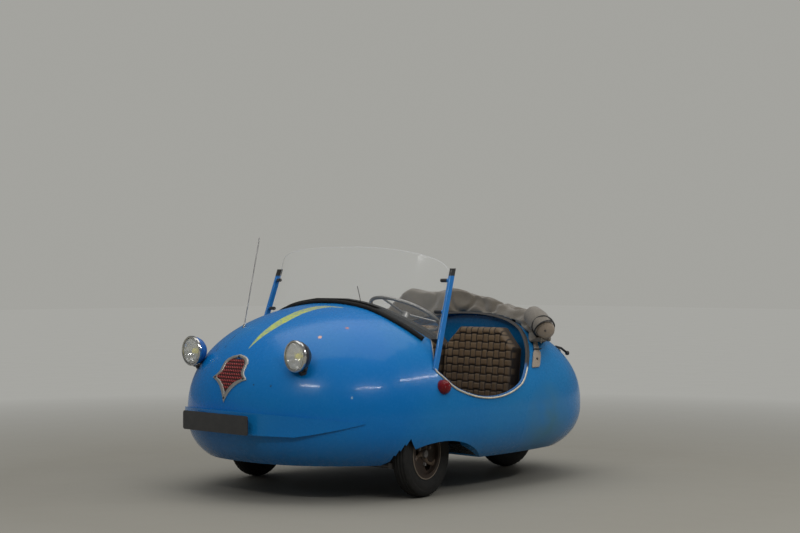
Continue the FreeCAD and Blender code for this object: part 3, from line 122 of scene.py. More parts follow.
class Finish:
    """One material: a Principled shader and what feeds it."""

    def __init__(self, name, color, roughness=0.5, metallic=0.0, **sockets):
        self.material = bpy.data.materials.new(name)
        self.material.use_nodes = True
        self.tree = self.material.node_tree
        self.shader = self.tree.nodes["Principled BSDF"]
        self.set("Roughness", roughness)
        self.set("Metallic", metallic)
        self.color(color)
        for socket, value in sockets.items():
            self.set(socket.replace("_", " "), value)
        self.spot = self.node("TexCoord", out="Object")

    def feed(self, socket, value):
        if isinstance(value, Wire):
            self.tree.links.new(value.socket, socket)
        elif isinstance(value, (tuple, list)) and len(value) == 3 and len(
                getattr(socket, "default_value", (0,) * 3)) == 4:
            socket.default_value = tuple(value) + (1.0,)
        else:
            socket.default_value = value

    def node(self, kind, sockets=None, out=0, **settings):
        made = self.tree.nodes.new("ShaderNode" + kind)
        for key, value in settings.items():
            setattr(made, key, value)
        for key, value in (sockets or {}).items():
            self.feed(made.inputs[key], value)
        return Wire(self, made.outputs[out])

    def math(self, operation, *values):
        return self.node("Math", dict(enumerate(values)), operation=operation)

    def set(self, socket, value):
        self.feed(self.shader.inputs[socket], value)

    def color(self, value):
        self.base = value
        self.set("Base Color", value)

    def mix(self, share, first, second):
        made = self.tree.nodes.new("ShaderNodeMix")
        made.data_type = "RGBA"
        self.feed(made.inputs["Factor"], share)
        for key, value in ((6, first), (7, second)):
            self.feed(made.inputs[key], value)
        return Wire(self, made.outputs[2])

    def cover(self, share, color):
        """Lays another colour over what is there."""
        self.color(self.mix(share, self.base, color))

    def noise(self, scale, detail=3.0, rough=0.5, at=None):
        return self.node("TexNoise", {"Vector": at or self.spot, "Scale": scale, "Detail": detail,
                                      "Roughness": rough})

    def bump(self, height, distance, strength=1.0):
        self.set("Normal", self.node("Bump", {"Height": height, "Distance": distance,
                                              "Strength": strength}))

    def far_from(self, place):
        """Distance from a point of the car."""
        return self.node("VectorMath", {0: self.spot, 1: place}, out=1, operation="DISTANCE")

    def from_line(self, start, end):
        """Distance from a line of the car, and the distance along it from its middle."""
        along = (Vector(end) - Vector(start)).normalized()
        middle = (Vector(start) + Vector(end)) / 2
        reach = self.node("VectorMath", {0: self.spot, 1: tuple(middle)}, operation="SUBTRACT")
        share = self.node("VectorMath", {0: reach, 1: tuple(along)}, out=1,
                          operation="DOT_PRODUCT")
        distance = self.node("VectorMath", {0: reach}, out=1, operation="LENGTH")
        across = (distance * distance - share * share).math("MAXIMUM", 0.0).math("SQRT")
        return across, abs(share)

    def curve(self, value, points, low, high):
        """A curve through points, read at a value; low and high bound both of its axes."""
        made = self.tree.nodes.new("ShaderNodeFloatCurve")
        line = made.mapping.curves[0]
        scaled = [((x - low[0]) / (high[0] - low[0]), (y - low[1]) / (high[1] - low[1]))
                  for x, y in points]
        while len(line.points) < len(scaled):
            line.points.new(0.5, 0.5)
        for point, (x, y) in zip(line.points, scaled):
            point.location = (x, y)
            point.handle_type = "VECTOR"
        made.mapping.update()
        self.feed(made.inputs["Value"], (value - low[0]) / (high[0] - low[0]))
        return Wire(self, made.outputs[0]) * (high[1] - low[1]) + low[1]


# Finishes

BLUE = (0.0012, 0.130, 0.390)
FADED_BLUE = (0.018, 0.180, 0.370)


def blue_paint(name, marked):
    """The old blue gloss, faded in places; the shell also has its stripe, chips and cracks."""
    paint = Finish(name, BLUE, Coat_Roughness=0.07, Coat_Weight=0.16, Specular_IOR_Level=0.18)
    x, y, z = (paint.spot.part(axis) for axis in range(3))
    cloud = paint.noise(2.3, 4.0)
    paint.cover((cloud * 2.2 - 0.9).held() * 0.55, FADED_BLUE)
    paint.cover(x.below(0.05, 1.1) * 0.45, FADED_BLUE)
    grime = paint.noise(30.0, 6.0, 0.7)
    if marked:
        reach = abs(y) + (x - 0.48).math("MAXIMUM", 0.0) * 0.45
        inside = x.above(0.0) * x.below(0.60) * abs(y).above(0.40) * reach.below(0.638)
        well = inside * z.above(0.176) * z.below(0.46)
        paint.cover(well, (0.006, 0.006, 0.006))
    low = z.below(0.23, 0.14)
    paint.cover(low * (grime * 1.6 - 0.3).held() * 0.35, (0.10, 0.11, 0.11))
    rough = 0.20 + grime * 0.14
    if marked:
        dull = paint.far_from((-0.45, 0.67, 0.29)).below(0.15, 0.16)
        dull = dull * (paint.noise(9.0, 4.0) * 2.4 - 0.6).held()
        paint.cover(dull * 0.8, (0.055, 0.165, 0.235))
        rough = rough + dull * 0.3
        up = paint.curve(x, STRIPE_INNER, STRIPE_LOW, STRIPE_HIGH)
        down = paint.curve(x, STRIPE_OUTER, STRIPE_LOW, STRIPE_HIGH)
        wobble = (paint.noise(60.0, 3.0) - 0.5) * 0.004
        stripe = (y + wobble - up).above(0.0, 0.003) * (down - y + wobble).above(0.0, 0.003)
        stripe = stripe * z.above(0.66) * x.above(0.488) * x.below(0.938)
        worn = (paint.noise(45.0, 5.0, 0.7) * 3.0 - 0.75).held() * 0.75 + 0.25
        shade = paint.mix(x.below(0.60, 0.10), (0.40, 0.46, 0.09), (0.33, 0.36, 0.15))
        paint.cover(stripe * worn, shade)
        rough = rough + stripe * 0.15
        ragged = (paint.noise(160.0, 2.0) - 0.5) * 0.012
        for place, size, shade in CHIPS:
            chip = (paint.far_from(place) + ragged).below(size, 0.002)
            paint.cover(chip, shade)
            rough = rough + chip * 0.3
        bend = (paint.noise(70.0, 2.0) - 0.5) * 0.010
        for start, end, size in CRACKS:
            across, share = paint.from_line(start, end)
            length = (Vector(end) - Vector(start)).length
            crack = (across + bend).below(size, 0.0015) * share.below(length / 2, 0.004)
            paint.cover(crack, (0.012, 0.012, 0.02))
    paint.set("Roughness", rough)
    wave = paint.noise(5.0, 2.0) * 0.7 + paint.noise(140.0, 2.0) * 0.02
    paint.bump(wave, 0.006)
    return paint.material


STRIPE_LOW = (0.48, -0.02)
STRIPE_HIGH = (0.94, 0.20)
STRIPE_INNER = ((0.480, 0.190), (0.492, 0.140), (0.500, 0.060), (0.514, 0.020), (0.530, 0.008),
                (0.589, -0.007), (0.678, -0.010), (0.774, -0.004), (0.872, 0.006), (0.940, 0.018))
STRIPE_OUTER = ((0.480, 0.192), (0.500, 0.175), (0.511, 0.122), (0.567, 0.083), (0.642, 0.070),
                (0.747, 0.068), (0.821, 0.053), (0.892, 0.033), (0.940, 0.019))
CHIPS = (
    ((0.772, 0.339, 0.752), 0.010, (0.62, 0.34, 0.26)),
    ((0.644, 0.383, 0.792), 0.008, (0.45, 0.18, 0.15)),
    ((1.011, 0.273, 0.533), 0.004, (0.02, 0.02, 0.03)),
    ((1.033, 0.178, 0.534), 0.004, (0.02, 0.02, 0.03)),
    ((0.792, 0.582, 0.484), 0.005, (0.30, 0.40, 0.50)),
    ((1.040, -0.180, 0.440), 0.009, (0.25, 0.10, 0.08)),
)
CRACKS = (
    ((0.927, -0.178, 0.690), (0.850, -0.196, 0.748), 0.0022),
    ((0.935, -0.250, 0.650), (0.900, -0.262, 0.700), 0.0030),
    ((0.905, -0.300, 0.668), (0.880, -0.285, 0.700), 0.0022),
    ((1.052, -0.187, 0.455), (1.036, -0.198, 0.522), 0.0020),
    ((0.980, -0.215, 0.610), (0.950, -0.232, 0.650), 0.0018),
)

shell_blue = blue_paint("shell_blue", True)
plain_blue = blue_paint("plain_blue", False)


def rubber(name, shade=0.016, rough=0.62):
    made = Finish(name, (shade, shade, shade * 0.97), Specular_IOR_Level=0.25)
    dust = made.noise(38.0, 6.0, 0.7)
    made.cover((dust * 1.8 - 0.6).held() * 0.16, (0.10, 0.09, 0.075))
    made.set("Roughness", rough + dust * 0.2)
    made.bump(made.noise(420.0, 3.0), 0.0006)
    return made.material


def bright_metal(name, shade, rough, spots):
    made = Finish(name, shade, metallic=1.0)
    pits = (made.noise(120.0, 6.0, 0.75) * 4.0 - 2.3).held()
    made.cover(pits * spots, (0.12, 0.085, 0.06))
    made.set("Roughness", rough + pits * 0.4 + made.noise(18.0) * 0.10)
    made.set("Metallic", 1.0 - pits * 0.6)
    made.bump(pits, 0.0003)
    return made.material


def dark_paint(name, shade=(0.020, 0.020, 0.022), rust=0.35):
    made = Finish(name, shade)
    flakes = (made.noise(26.0, 7.0, 0.7) * 3.2 - 1.7).held()
    made.cover(flakes * rust, (0.115, 0.052, 0.026))
    made.set("Roughness", 0.46 + flakes * 0.35)
    made.bump(made.noise(150.0, 4.0), 0.0006)
    return made.material


def cloth(name, shade, pale, thread=900.0):
    """Woven canvas: two crossed thread waves under soft stains."""
    made = Finish(name, shade, Sheen_Weight=0.25, Sheen_Roughness=0.6)
    stain = made.noise(7.0, 5.0, 0.6)
    made.cover((stain * 2.4 - 0.8).held() * 0.7, pale)
    dirt = (made.noise(19.0, 6.0, 0.7) * 2.6 - 1.4).held()
    made.cover(dirt * 0.5, tuple(channel * 0.35 for channel in shade))
    x, y, z = (made.spot.part(axis) for axis in range(3))
    warp = (y * thread).math("SINE")
    weft = ((x + z) * thread).math("SINE")
    weave = warp * weft
    made.cover((weave * 0.5 + 0.5) * 0.18, tuple(channel * 0.5 for channel in shade))
    made.set("Roughness", 0.86)
    made.bump(weave * 0.4 + made.noise(240.0, 3.0), 0.0009)
    return made.material


bead_cream = Finish("bead_cream", (0.50, 0.46, 0.36))
bead_cream.cover((bead_cream.noise(40.0, 6.0, 0.7) * 2.4 - 1.0).held() * 0.6, (0.16, 0.12, 0.08))
# Near black behind the cockpit and high up: painted shadow under the folded hood.
bead_cream.cover(bead_cream.spot.part(0).below(-0.30, 0.01) * bead_cream.spot.part(2).above(
    0.56, 0.03), (0.012, 0.012, 0.012))
bead_cream.set("Roughness", 0.40 + bead_cream.noise(60.0) * 0.2)
bead_cream.bump(bead_cream.noise(300.0), 0.0004)
bead_cream = bead_cream.material
black_rubber = rubber("black_rubber", 0.006)
tyre_rubber = rubber("tyre_rubber", 0.010, 0.70)
frame_silver = bright_metal("grille_silver", (0.56, 0.54, 0.49), 0.42, 0.55)
steel = dark_paint("bare_steel", (0.13, 0.12, 0.115), 0.6)
black_paint = dark_paint("chassis_black")
knob_black = dark_paint("knob_black", (0.012, 0.012, 0.013), 0.1)
mesh_red = dark_paint("mesh_red", (0.36, 0.050, 0.050), 0.35)
canvas = cloth("hood_canvas", (0.090, 0.074, 0.052), (0.140, 0.118, 0.086))
binding = cloth("hood_binding", (0.022, 0.021, 0.020), (0.05, 0.045, 0.04))
tan_canvas = cloth("tan_canvas", (0.230, 0.180, 0.130), (0.30, 0.24, 0.18))

# Clear sheet: nearly invisible, paler along its cut edges.
perspex = Finish("clear_perspex", (0.80, 0.83, 0.83), 0.06)
edge = perspex.node("Attribute", out=2, attribute_name="edge")
haze = perspex.noise(6.0, 5.0, 0.6) * 0.05
perspex.set("Alpha", edge * 0.30 + haze * 0.5 + 0.035)
perspex.set("Roughness", 0.05 + perspex.noise(40.0) * 0.05)

lamp_glass = Finish("lamp_glass", (0.86, 0.88, 0.86), 0.05)
flutes = (lamp_glass.spot.part(1) * 700.0).math("SINE")
lamp_glass.bump(flutes, 0.0012)
lamp_glass.set("Alpha", 0.16 + (flutes * 0.5 + 0.5) * 0.16)

red_lens = Finish("red_lens", (0.085, 0.002, 0.004), 0.16, Specular_IOR_Level=0.3)
facet = red_lens.node("TexVoronoi", {"Vector": red_lens.spot, "Scale": 130.0})
red_lens.cover(facet * 0.6, (0.20, 0.006, 0.010))
red_lens.bump(facet, 0.0020)
red_lens.set("Roughness", 0.10 + facet * 0.1)

glowing_bulb = Finish("glowing_bulb", (0.62, 0.56, 0.010), 0.2, Coat_Weight=0.2)
glowing_bulb.cover(glowing_bulb.noise(90.0) * 0.4, (0.85, 0.80, 0.25))
# The bulb glows though the lamp is off: painted light.
glowing_bulb.set("Emission Color", (0.30, 0.26, 0.02))
glowing_bulb.shader.inputs["Emission Strength"].default_value = 0.5

mirror = Finish("lamp_mirror", (0.80, 0.80, 0.78), 0.10, 1.0)
# A yellow patch round each bulb on the reflector: painted reflection of the bulb.
for lamp_side in (1, -1):
    bulb_reflection = mirror.far_from((LAMP.x - 0.045, lamp_side * LAMP.y, LAMP.z)).below(0.026, 0.022)
    mirror.cover(bulb_reflection * 0.8, (0.75, 0.70, 0.08))
mirror.set("Roughness", 0.07 + mirror.noise(30.0) * 0.12)
mirror.bump((mirror.spot.part(1) * 330.0).math("SINE") * 0.5 + mirror.noise(40.0), 0.0010)

plate_black = Finish("plate_black", (0.010, 0.010, 0.011), Coat_Weight=0.3)
dust = plate_black.noise(25.0, 6.0, 0.7)
plate_black.cover((dust * 2.0 - 0.9).held() * 0.16, (0.20, 0.19, 0.17))
plate_black.set("Roughness", 0.22 + dust * 0.3)
plate_black.bump(plate_black.noise(90.0), 0.0004)


def edge_paint():
    """Body blue that turns dark behind the cockpit, where painted shadow lies under the folded
    hood.
    """
    made = Finish("edge_blue", (0.001, 0.090, 0.27), 0.4)
    # Dark behind the cockpit and high up: painted shadow under the folded hood.
    made.cover(made.spot.part(0).below(-0.30, 0.02) * made.spot.part(2).above(0.60, 0.02),
               (0.020, 0.016, 0.012))
    made.cover((made.noise(60.0, 5.0) * 3.0 - 1.6).held() * 0.4, (0.02, 0.03, 0.04))
    made.set("Roughness", 0.40 + made.noise(50.0) * 0.2)
    made.bump(made.noise(300.0), 0.0003)
    return made.material


def lamp_bowl(name, shade):
    """Painted bowl, chromed rim and black stalk of one headlamp."""
    made = Finish(name, shade, Coat_Weight=0.4)
    x = made.spot.part(0)
    z = made.spot.part(2)
    rim = x.above(LAMP.x - 0.0012, 0.0008)
    stalk = z.below(LAMP.z - 0.058, 0.004)
    scuff = (made.noise(50.0, 6.0, 0.75) * 3.4 - 1.9).held()
    made.cover(scuff * 0.35, (0.10, 0.055, 0.035))
    made.cover(stalk, (0.014, 0.013, 0.012))
    made.cover(rim, (0.62, 0.61, 0.58))
    made.set("Metallic", rim)
    made.set("Roughness", rim * -0.16 + 0.36 + scuff * 0.3 + stalk * 0.2)
    made.bump(made.noise(90.0, 3.0), 0.0004)
    return made.material


def mirrored(point, side):
    return Vector((point.x, side * point.y, point.z))


def post_paint(name, side):
    """Blue flat bar with a black sleeve at its top and scuffed edges."""
    made = Finish(name, (0.006, 0.155, 0.46), Coat_Weight=0.3)
    z = made.spot.part(2)
    scuff = (made.noise(55.0, 6.0, 0.75) * 3.2 - 1.75).held()
    made.cover(scuff * 0.5, (0.05, 0.06, 0.07))
    across, _ = made.from_line(mirrored(POST_FOOT, side), mirrored(POST_TOP, side))
    sleeve = (z.above(1.036, 0.003) + across.above(0.0195, 0.001)).held()
    made.cover(sleeve, (0.014, 0.013, 0.012))
    made.set("Roughness", 0.30 + scuff * 0.3 + sleeve * 0.3)
    made.bump(made.noise(120.0, 3.0), 0.0005)
    return made.material


def wheel_paint(name, centre, axis):
    """Brown rusted steel; the flange's edge has a pale ring."""
    made = Finish(name, (0.018, 0.012, 0.008))
    radius, _ = made.from_line(centre - axis, centre + axis)
    rust = made.noise(34.0, 7.0, 0.72)
    made.cover((rust * 2.6 - 0.9).held() * 0.7, (0.055, 0.028, 0.014))
    made.cover((made.noise(12.0, 4.0) * 2.2 - 1.1).held() * 0.4, (0.030, 0.026, 0.022))
    made.cover(radius.above(0.1150, 0.002) * 0.75, (0.26, 0.21, 0.16))
    made.set("Roughness", 0.55 + rust * 0.3)
    made.set("Metallic", 0.15)
    made.bump(rust, 0.0012)
    return made.material


def vinyl(name):
    """Brown basket-weave seat cover; the mesh carries how deep each spot lies and how much painted
    shade it gets.
    """
    made = Finish(name, (0.128, 0.078, 0.036))
    crease = made.node("Attribute", out=2, attribute_name="crease")
    made.cover((made.noise(10.0, 4.0) * 2.2 - 0.8).held() * 0.5, (0.215, 0.145, 0.075))
    # Painted shade in the weave's creases, along the pad's rolled edges and on its sides.
    made.cover(crease, (0.008, 0.005, 0.003))
    z = made.spot.part(2)
    # Painted shadow: darker towards the bottom of the seats.
    made.cover(z.below(0.50, 0.35) * 0.72, (0.020, 0.012, 0.008))
    made.set("Roughness", 0.50 + crease * 0.3)
    made.bump(made.noise(380.0, 4.0), 0.0006)
    return made.material


# Mesh helpers

def placed(name, data):
    """A new object in the scene."""
    made = bpy.data.objects.new(name, data)
    bpy.context.scene.collection.objects.link(made)
    return made


def piece(name, points, faces, finish, body, slot, smooth=True):
    mesh = bpy.data.meshes.new(name)
    mesh.from_pydata([tuple(point) for point in points], [], faces)
    mesh.validate()
    mesh.materials.append(finish)
    mesh.polygons.foreach_set("use_smooth", [smooth] * len(mesh.polygons))
    made = placed(name, mesh)
    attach(made, body)
    return made


def joined(shapes):
    """Several (points, faces) shapes as one."""
    points, faces = [], []
    for more_points, more_faces in shapes:
        start = len(points)
        points += more_points
        faces += [tuple(index + start for index in face) for face in more_faces]
    return points, faces


def revolve(profile, segments, place, axis, closed=False):
    """Turns (radius, along) points round an axis through a place."""
    axis = Vector(axis).normalized()
    first = axis.orthogonal().normalized()
    second = axis.cross(first)
    points = []
    for number in range(segments):
        angle = 2 * math.pi * number / segments
        out = first * math.cos(angle) + second * math.sin(angle)
        points += [Vector(place) + out * radius + axis * along for radius, along in profile]
    count = len(profile)
    faces = []
    for number in range(segments):
        near, far = number * count, (number + 1) % segments * count
        for index in range(count if closed else count - 1):
            follower = (index + 1) % count
            faces.append((near + index, near + follower, far + follower, far + index))
    return points, faces


def tube(path, radius, sides=8, capped=True):
    """A round bar along points; radius is one number, or one for each point."""
    path = [Vector(point) for point in path]
    radii = radius if isinstance(radius, (list, tuple)) else [radius] * len(path)
    points, faces = [], []
    across = None
    for index, point in enumerate(path):
        ahead = path[min(index + 1, len(path) - 1)] - path[max(index - 1, 0)]
        ahead.normalize()
        across = ahead.orthogonal() if across is None else across - ahead * across.dot(ahead)
        across.normalize()
        other = ahead.cross(across)
        for number in range(sides):
            angle = 2 * math.pi * number / sides
            points.append(point + (across * math.cos(angle) + other * math.sin(angle))
                          * radii[index])
    for index in range(len(path) - 1):
        for number in range(sides):
            follower = (number + 1) % sides
            low, high = index * sides, (index + 1) * sides
            faces.append((low + number, low + follower, high + follower, high + number))
    if capped:
        faces.append(tuple(reversed(range(sides))))
        faces.append(tuple(range((len(path) - 1) * sides, len(path) * sides)))
    return points, faces


def screw(place, out, radius=0.006):
    """A domed screw head on a surface."""
    profile = [(0.0001, radius * 0.55), (radius * 0.6, radius * 0.45), (radius, radius * 0.1),
               (radius, -radius * 0.4)]
    return revolve(profile, 12, place, out)


def surface(*names):
    """The solids of some nodes, for finding points on them."""
    meshes = [NODES[name].data for name in names]
    return BVHTree.FromPolygons(*joined(
        ([vertex.co.copy() for vertex in mesh.vertices],
         [tuple(polygon.vertices) for polygon in mesh.polygons]) for mesh in meshes))


def paint_node(name, finish):
    slots = NODES[name].material_slots
    for slot in slots:
        slot.material = finish
    if not slots:
        NODES[name].data.materials.append(finish)


SHELL = surface("body_upper", "body_lower")
FLANK = surface("body_upper", "body_lower", "bulkhead", "seat_box")


def drop_on_shell(x, y):
    """The highest point of the body at a place of the plan, and the skin's direction there."""
    return SHELL.ray_cast(Vector((x, y, 1.5)), Vector((0, 0, -1)))[:2]


def side_hit(skin, x, z, side):
    """The outermost point of a skin in side view, and its direction there."""
    return skin.ray_cast(Vector((x, side * 1.2, z)), Vector((0, -side, 0)))[:2]


def grid_faces(rows, columns):
    """Faces between rows of points that each span some columns."""
    wide = columns + 1
    return [(start, start + 1, start + wide + 1, start + wide)
            for row in range(rows) for start in range(row * wide, row * wide + columns)]

# Finishes of the carried-over solids

for names, finish in (
    (("body_upper", "body_lower", "bumper", "engine_lid"), shell_blue),
    (("bulkhead", "seat_box"), plain_blue),
    (("cockpit_trim",), edge_paint()),
    (("windscreen_rubber",), black_rubber),
    (("windscreen",), perspex.material),
    (("grille_frame",), frame_silver),
    (("number_plate",), plate_black.material),
    (("headlamp_lens_left", "headlamp_lens_right"), lamp_glass.material),
    (("headlamp_bowl_left",), lamp_bowl("bowl_black", (0.016, 0.014, 0.013))),
    (("headlamp_bowl_right",), lamp_bowl("bowl_blue", (0.010, 0.095, 0.330))),
    (("side_lamp_left", "side_lamp_right"), red_lens.material),
    (("screen_post_left",), post_paint("post_blue_left", 1)),
    (("screen_post_right",), post_paint("post_blue_right", -1)),
    (("steering_wheel",), bright_metal("wheel_rim_metal", (0.34, 0.33, 0.31), 0.30, 0.7)),
    (("aerial",), bright_metal("aerial_metal", (0.42, 0.41, 0.40), 0.30, 0.5)),
    (("steering_column", "front_axle", "floor_rails", "rear_frame", "rear_fork", "steering_box"),
     black_paint),
    (("knuckle_left", "knuckle_right", "track_rod", "silencer"), steel),
    (("engine",), dark_paint("engine_alloy", (0.14, 0.135, 0.13), 0.5)),
    (("hood_strap_left", "hood_strap_right"), binding),
):
    for name in names:
        paint_node(name, finish)


# Wheels and tyres

def wheel_places():
    """Body, centre and outward axis of each wheel at rest."""
    sine, cosine = math.sin(REST_STEER), math.cos(REST_STEER)
    for name, side in SIDES:
        centre = Vector((FRONT_AXLE_X - side * WHEEL_OFFSET * sine,
                         side * (KINGPIN_Y + WHEEL_OFFSET * cosine), TYRE_RADIUS))
        yield name, "front_wheel_" + name, centre, Vector((-sine, cosine, 0)) * side
    yield "rear", "rear_wheel", Vector((REAR_AXLE_X, 0, TYRE_RADIUS)), Vector((0, 1, 0))


TYRE_SEGMENTS = 160
SIPE_EVERY = 4
SIPE_DEEP = 0.003


def tyre_shape(centre, axis):
    """A worn tyre: ribbed sidewalls, four grooves round the tread and sipes across it."""
    side = [(0.1025, 0.0285), (0.112, 0.0290), (0.122, 0.0300), (0.127, 0.0360), (0.134, 0.0405),
            (0.136, 0.0412), (0.139, 0.0412), (0.141, 0.0425), (0.153, 0.0438), (0.166, 0.0430),
            (0.168, 0.0420), (0.171, 0.0420), (0.173, 0.0424), (0.182, 0.0398), (0.189, 0.0360),
            (0.1945, 0.0320)]
    tread = [(0.1975, 0.0290), (0.1985, 0.0255), (0.1945, 0.0250), (0.1945, 0.0215),
             (0.2000, 0.0210), (0.2015, 0.0110), (0.1970, 0.0105), (0.1970, 0.0070),
             (0.2020, 0.0065), (0.2027, 0.0000)]
    half = side + tread
    profile = half + [(radius, -along) for radius, along in reversed(half[:-1])]
    points, faces = revolve(profile, TYRE_SEGMENTS, centre, axis)
    count = len(profile)
    first_tread = len(side)
    last_tread = count - len(side)
    for number in range(0, TYRE_SEGMENTS, SIPE_EVERY):
        for index in range(first_tread, last_tread):
            radius, across = profile[index]
            if radius > 0.1972 and abs(across) > 0.012:
                point = points[number * count + index]
                out = point - centre - axis * (point - centre).dot(axis)
                points[number * count + index] = point - out.normalized() * SIPE_DEEP
    return points, faces


def star_arm(centre, axis, turn):
    """A curved rib that runs from the hub to the rim and flares at both ends."""
    first = axis.cross(Vector((0, 0, 1))).normalized()
    second = axis.cross(first)
    points, faces = [], []
    steps = 12
    for step in range(steps + 1):
        share = step / steps
        radius = 0.020 + 0.080 * share
        angle = turn + 0.55 * share ** 1.6
        out = first * math.cos(angle) + second * math.sin(angle)
        across = axis.cross(out)
        half = 0.0085 + 0.012 * (2 * share - 1) ** 4
        middle = centre + out * radius + axis * 0.0135
        points += [middle - across * half, middle - across * half * 0.5 + axis * 0.006,
                   middle + across * half * 0.5 + axis * 0.006, middle + across * half]
    for step in range(steps):
        low = 4 * step
        faces += [(low + side, low + side + 1, low + side + 5, low + side + 4)
                  for side in range(3)]
    return points, faces + [(0, 1, 2, 3), (4 * steps + 3, 4 * steps + 2, 4 * steps + 1, 4 * steps)]


NUT_CIRCLE = 0.050
NUT_FOOT = 0.014
arm_rust = dark_paint("arm_rust", (0.085, 0.058, 0.038), 0.9)

for name, body, centre, axis in wheel_places():
    tyre = piece("tread_tyre_" + name, *tyre_shape(centre, axis), tyre_rubber, body, "tyre")
    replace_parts(tyre, "tyre_" + name)
    paint_node("wheel_" + name, wheel_paint("wheel_rust_" + name, centre, axis))
    nuts = []
    for number in range(3):
        turn = Matrix.Rotation(math.radians(60 + 120 * number), 3, axis)
        spot = centre + turn @ Vector((0, 0, NUT_CIRCLE)) + axis * NUT_FOOT
        nuts.append(revolve([(0.0001, 0.009), (0.008, 0.009), (0.009, 0.0), (0.009, -0.002)], 6,
                            spot, axis))
    arms = [star_arm(centre, axis, math.radians(120 * number)) for number in range(3)]
    piece("wheel_arms_" + name, *joined(arms), arm_rust, body, "rusty_wheel")
    cap = [(0.0001, 0.012), (0.012, 0.011), (0.017, 0.006), (0.018, 0.0)]
    nuts.append(revolve(cap, 24, centre + axis * 0.0180, axis))
    piece("wheel_nuts_" + name, *joined(nuts), steel, body, "steel", smooth=False)


# Headlamps

for name, side in SIDES:
    centre = Vector((LAMP.x, side * LAMP.y, LAMP.z))
    dish = [(0.0005 + 0.062 * share, -0.050 + 0.052 * share ** 2)
            for share in (number / 12 for number in range(13))]
    piece("lamp_mirror_" + name, *revolve(dish, 48, centre, (1, 0, 0)), mirror.material, "body",
          "polished_metal")
    ball = [(0.014 * math.sin(angle) + 0.0001, -0.016 + 0.014 * -math.cos(angle))
            for angle in (math.pi * number / 10 for number in range(11))]
    stem = [(0.007, -0.050), (0.007, -0.026)]
    bulb = joined([revolve(ball, 20, centre, (1, 0, 0)), revolve(stem, 12, centre, (1, 0, 0))])
    piece("lamp_bulb_" + name, *bulb, glowing_bulb.material, "body", "amber_lens")
    clamp = tube([centre + Vector((-0.040, 0, -0.070)), centre + Vector((-0.045, 0, -0.083))],
                 [0.020, 0.017], 16)
    bolt = screw(centre + Vector((-0.020, side * 0.010, -0.0745)), (0.2, 0, -1), 0.007)
    piece("lamp_clamp_" + name, *joined([clamp, bolt]), knob_black, "body", "black_paint",
          smooth=False)


# Grille

# The shield's half width, from its ears up to its top and down to its tip.
SHIELD_UPPER = ((0.0, 1.0), (0.08, 0.90), (0.18, 0.77), (0.32, 0.69), (0.50, 0.69), (0.68, 0.68),
                (0.82, 0.58), (0.92, 0.38), (1.0, 0.0))
SHIELD_LOWER = ((0.0, 1.0), (0.05, 0.86), (0.14, 0.66), (0.25, 0.50), (0.38, 0.36), (0.50, 0.26),
                (0.65, 0.16), (0.85, 0.06), (1.0, 0.0))


def along(table, value):
    """A value read from a table of pairs, with straight lines between them."""
    for (low, first), (high, second) in zip(table, table[1:]):
        if value <= high:
            share = min(1.0, max(0.0, (value - low) / (high - low)))
            return first + (second - first) * share
    return table[-1][1]


def shield_half(z, inner=0.0):
    """Half width of the grille's shield at a height; inner goes from 0, its outline, to 1."""
    top, ear, tip = 0.665 - 0.012 * inner, 0.556 + 0.003 * inner, 0.446 + 0.040 * inner
    half = 0.128 - 0.026 * inner
    if z >= ear:
        return half * along(SHIELD_UPPER, (z - ear) / (top - ear))
    return half * along(SHIELD_LOWER, (ear - z) / (ear - tip))


def shield_outline(inner=0.0, steps=44):
    """The shield's outline as (y, z), once round from the tip."""
    top, tip = 0.665 - 0.012 * inner, 0.446 + 0.040 * inner
    right = []
    for step in range(steps + 1):
        z = tip + (top - tip) * 0.5 * (1 - math.cos(math.pi * step / steps))
        right.append((shield_half(z, inner), z))
    return right + [(-y, z) for y, z in reversed(right[1:-1])]


def on_nose(y, z, lift):
    spot, normal, _, _ = SHELL.ray_cast(Vector((1.4, y, z)), Vector((-1, 0, 0)))
    return spot + normal * lift


def grille_shield():
    """The polished frame: a raised band between the shield's outline and a smaller one."""
    rings = [[on_nose(y, z, lift) for y, z in shield_outline(inset)]
             for inset, lift in ((0.0, 0.0004), (0.0, 0.0045), (0.12, 0.0062), (0.90, 0.0066),
                                 (1.0, 0.0050), (1.0, 0.0010))]
    count = len(rings[0])
    faces = []
    for ring in range(len(rings) - 1):
        for index in range(count):
            follower = (index + 1) % count
            faces.append((ring * count + index, ring * count + follower,
                          (ring + 1) * count + follower, (ring + 1) * count + index))
    return [point for ring in rings for point in ring], faces


def lattice():
    """Expanded red metal: strands that zigzag across the opening."""
    cell_wide, cell_high = 0.0170, 0.0150
    shapes = []
    for row in range(14):
        run = []
        for column in range(-16, 17):
            z = 0.452 + row * cell_high + (0.5 * cell_high if column % 2 else 0.0)
            y = column * cell_wide / 2
            if 0.498 < z < 0.648 and abs(y) < shield_half(z, 0.9):
                run.append(on_nose(y, z, 0.0034 + (0.0012 if column % 2 else 0.0)))
            else:
                if len(run) > 1:
                    shapes.append(tube(run, 0.0021, 4))
                run = []
        if len(run) > 1:
            shapes.append(tube(run, 0.0021, 4))
    return joined(shapes)


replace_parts(piece("grille_lattice", *lattice(), mesh_red, "body", "red_mesh", smooth=False),
            "grille_mesh")
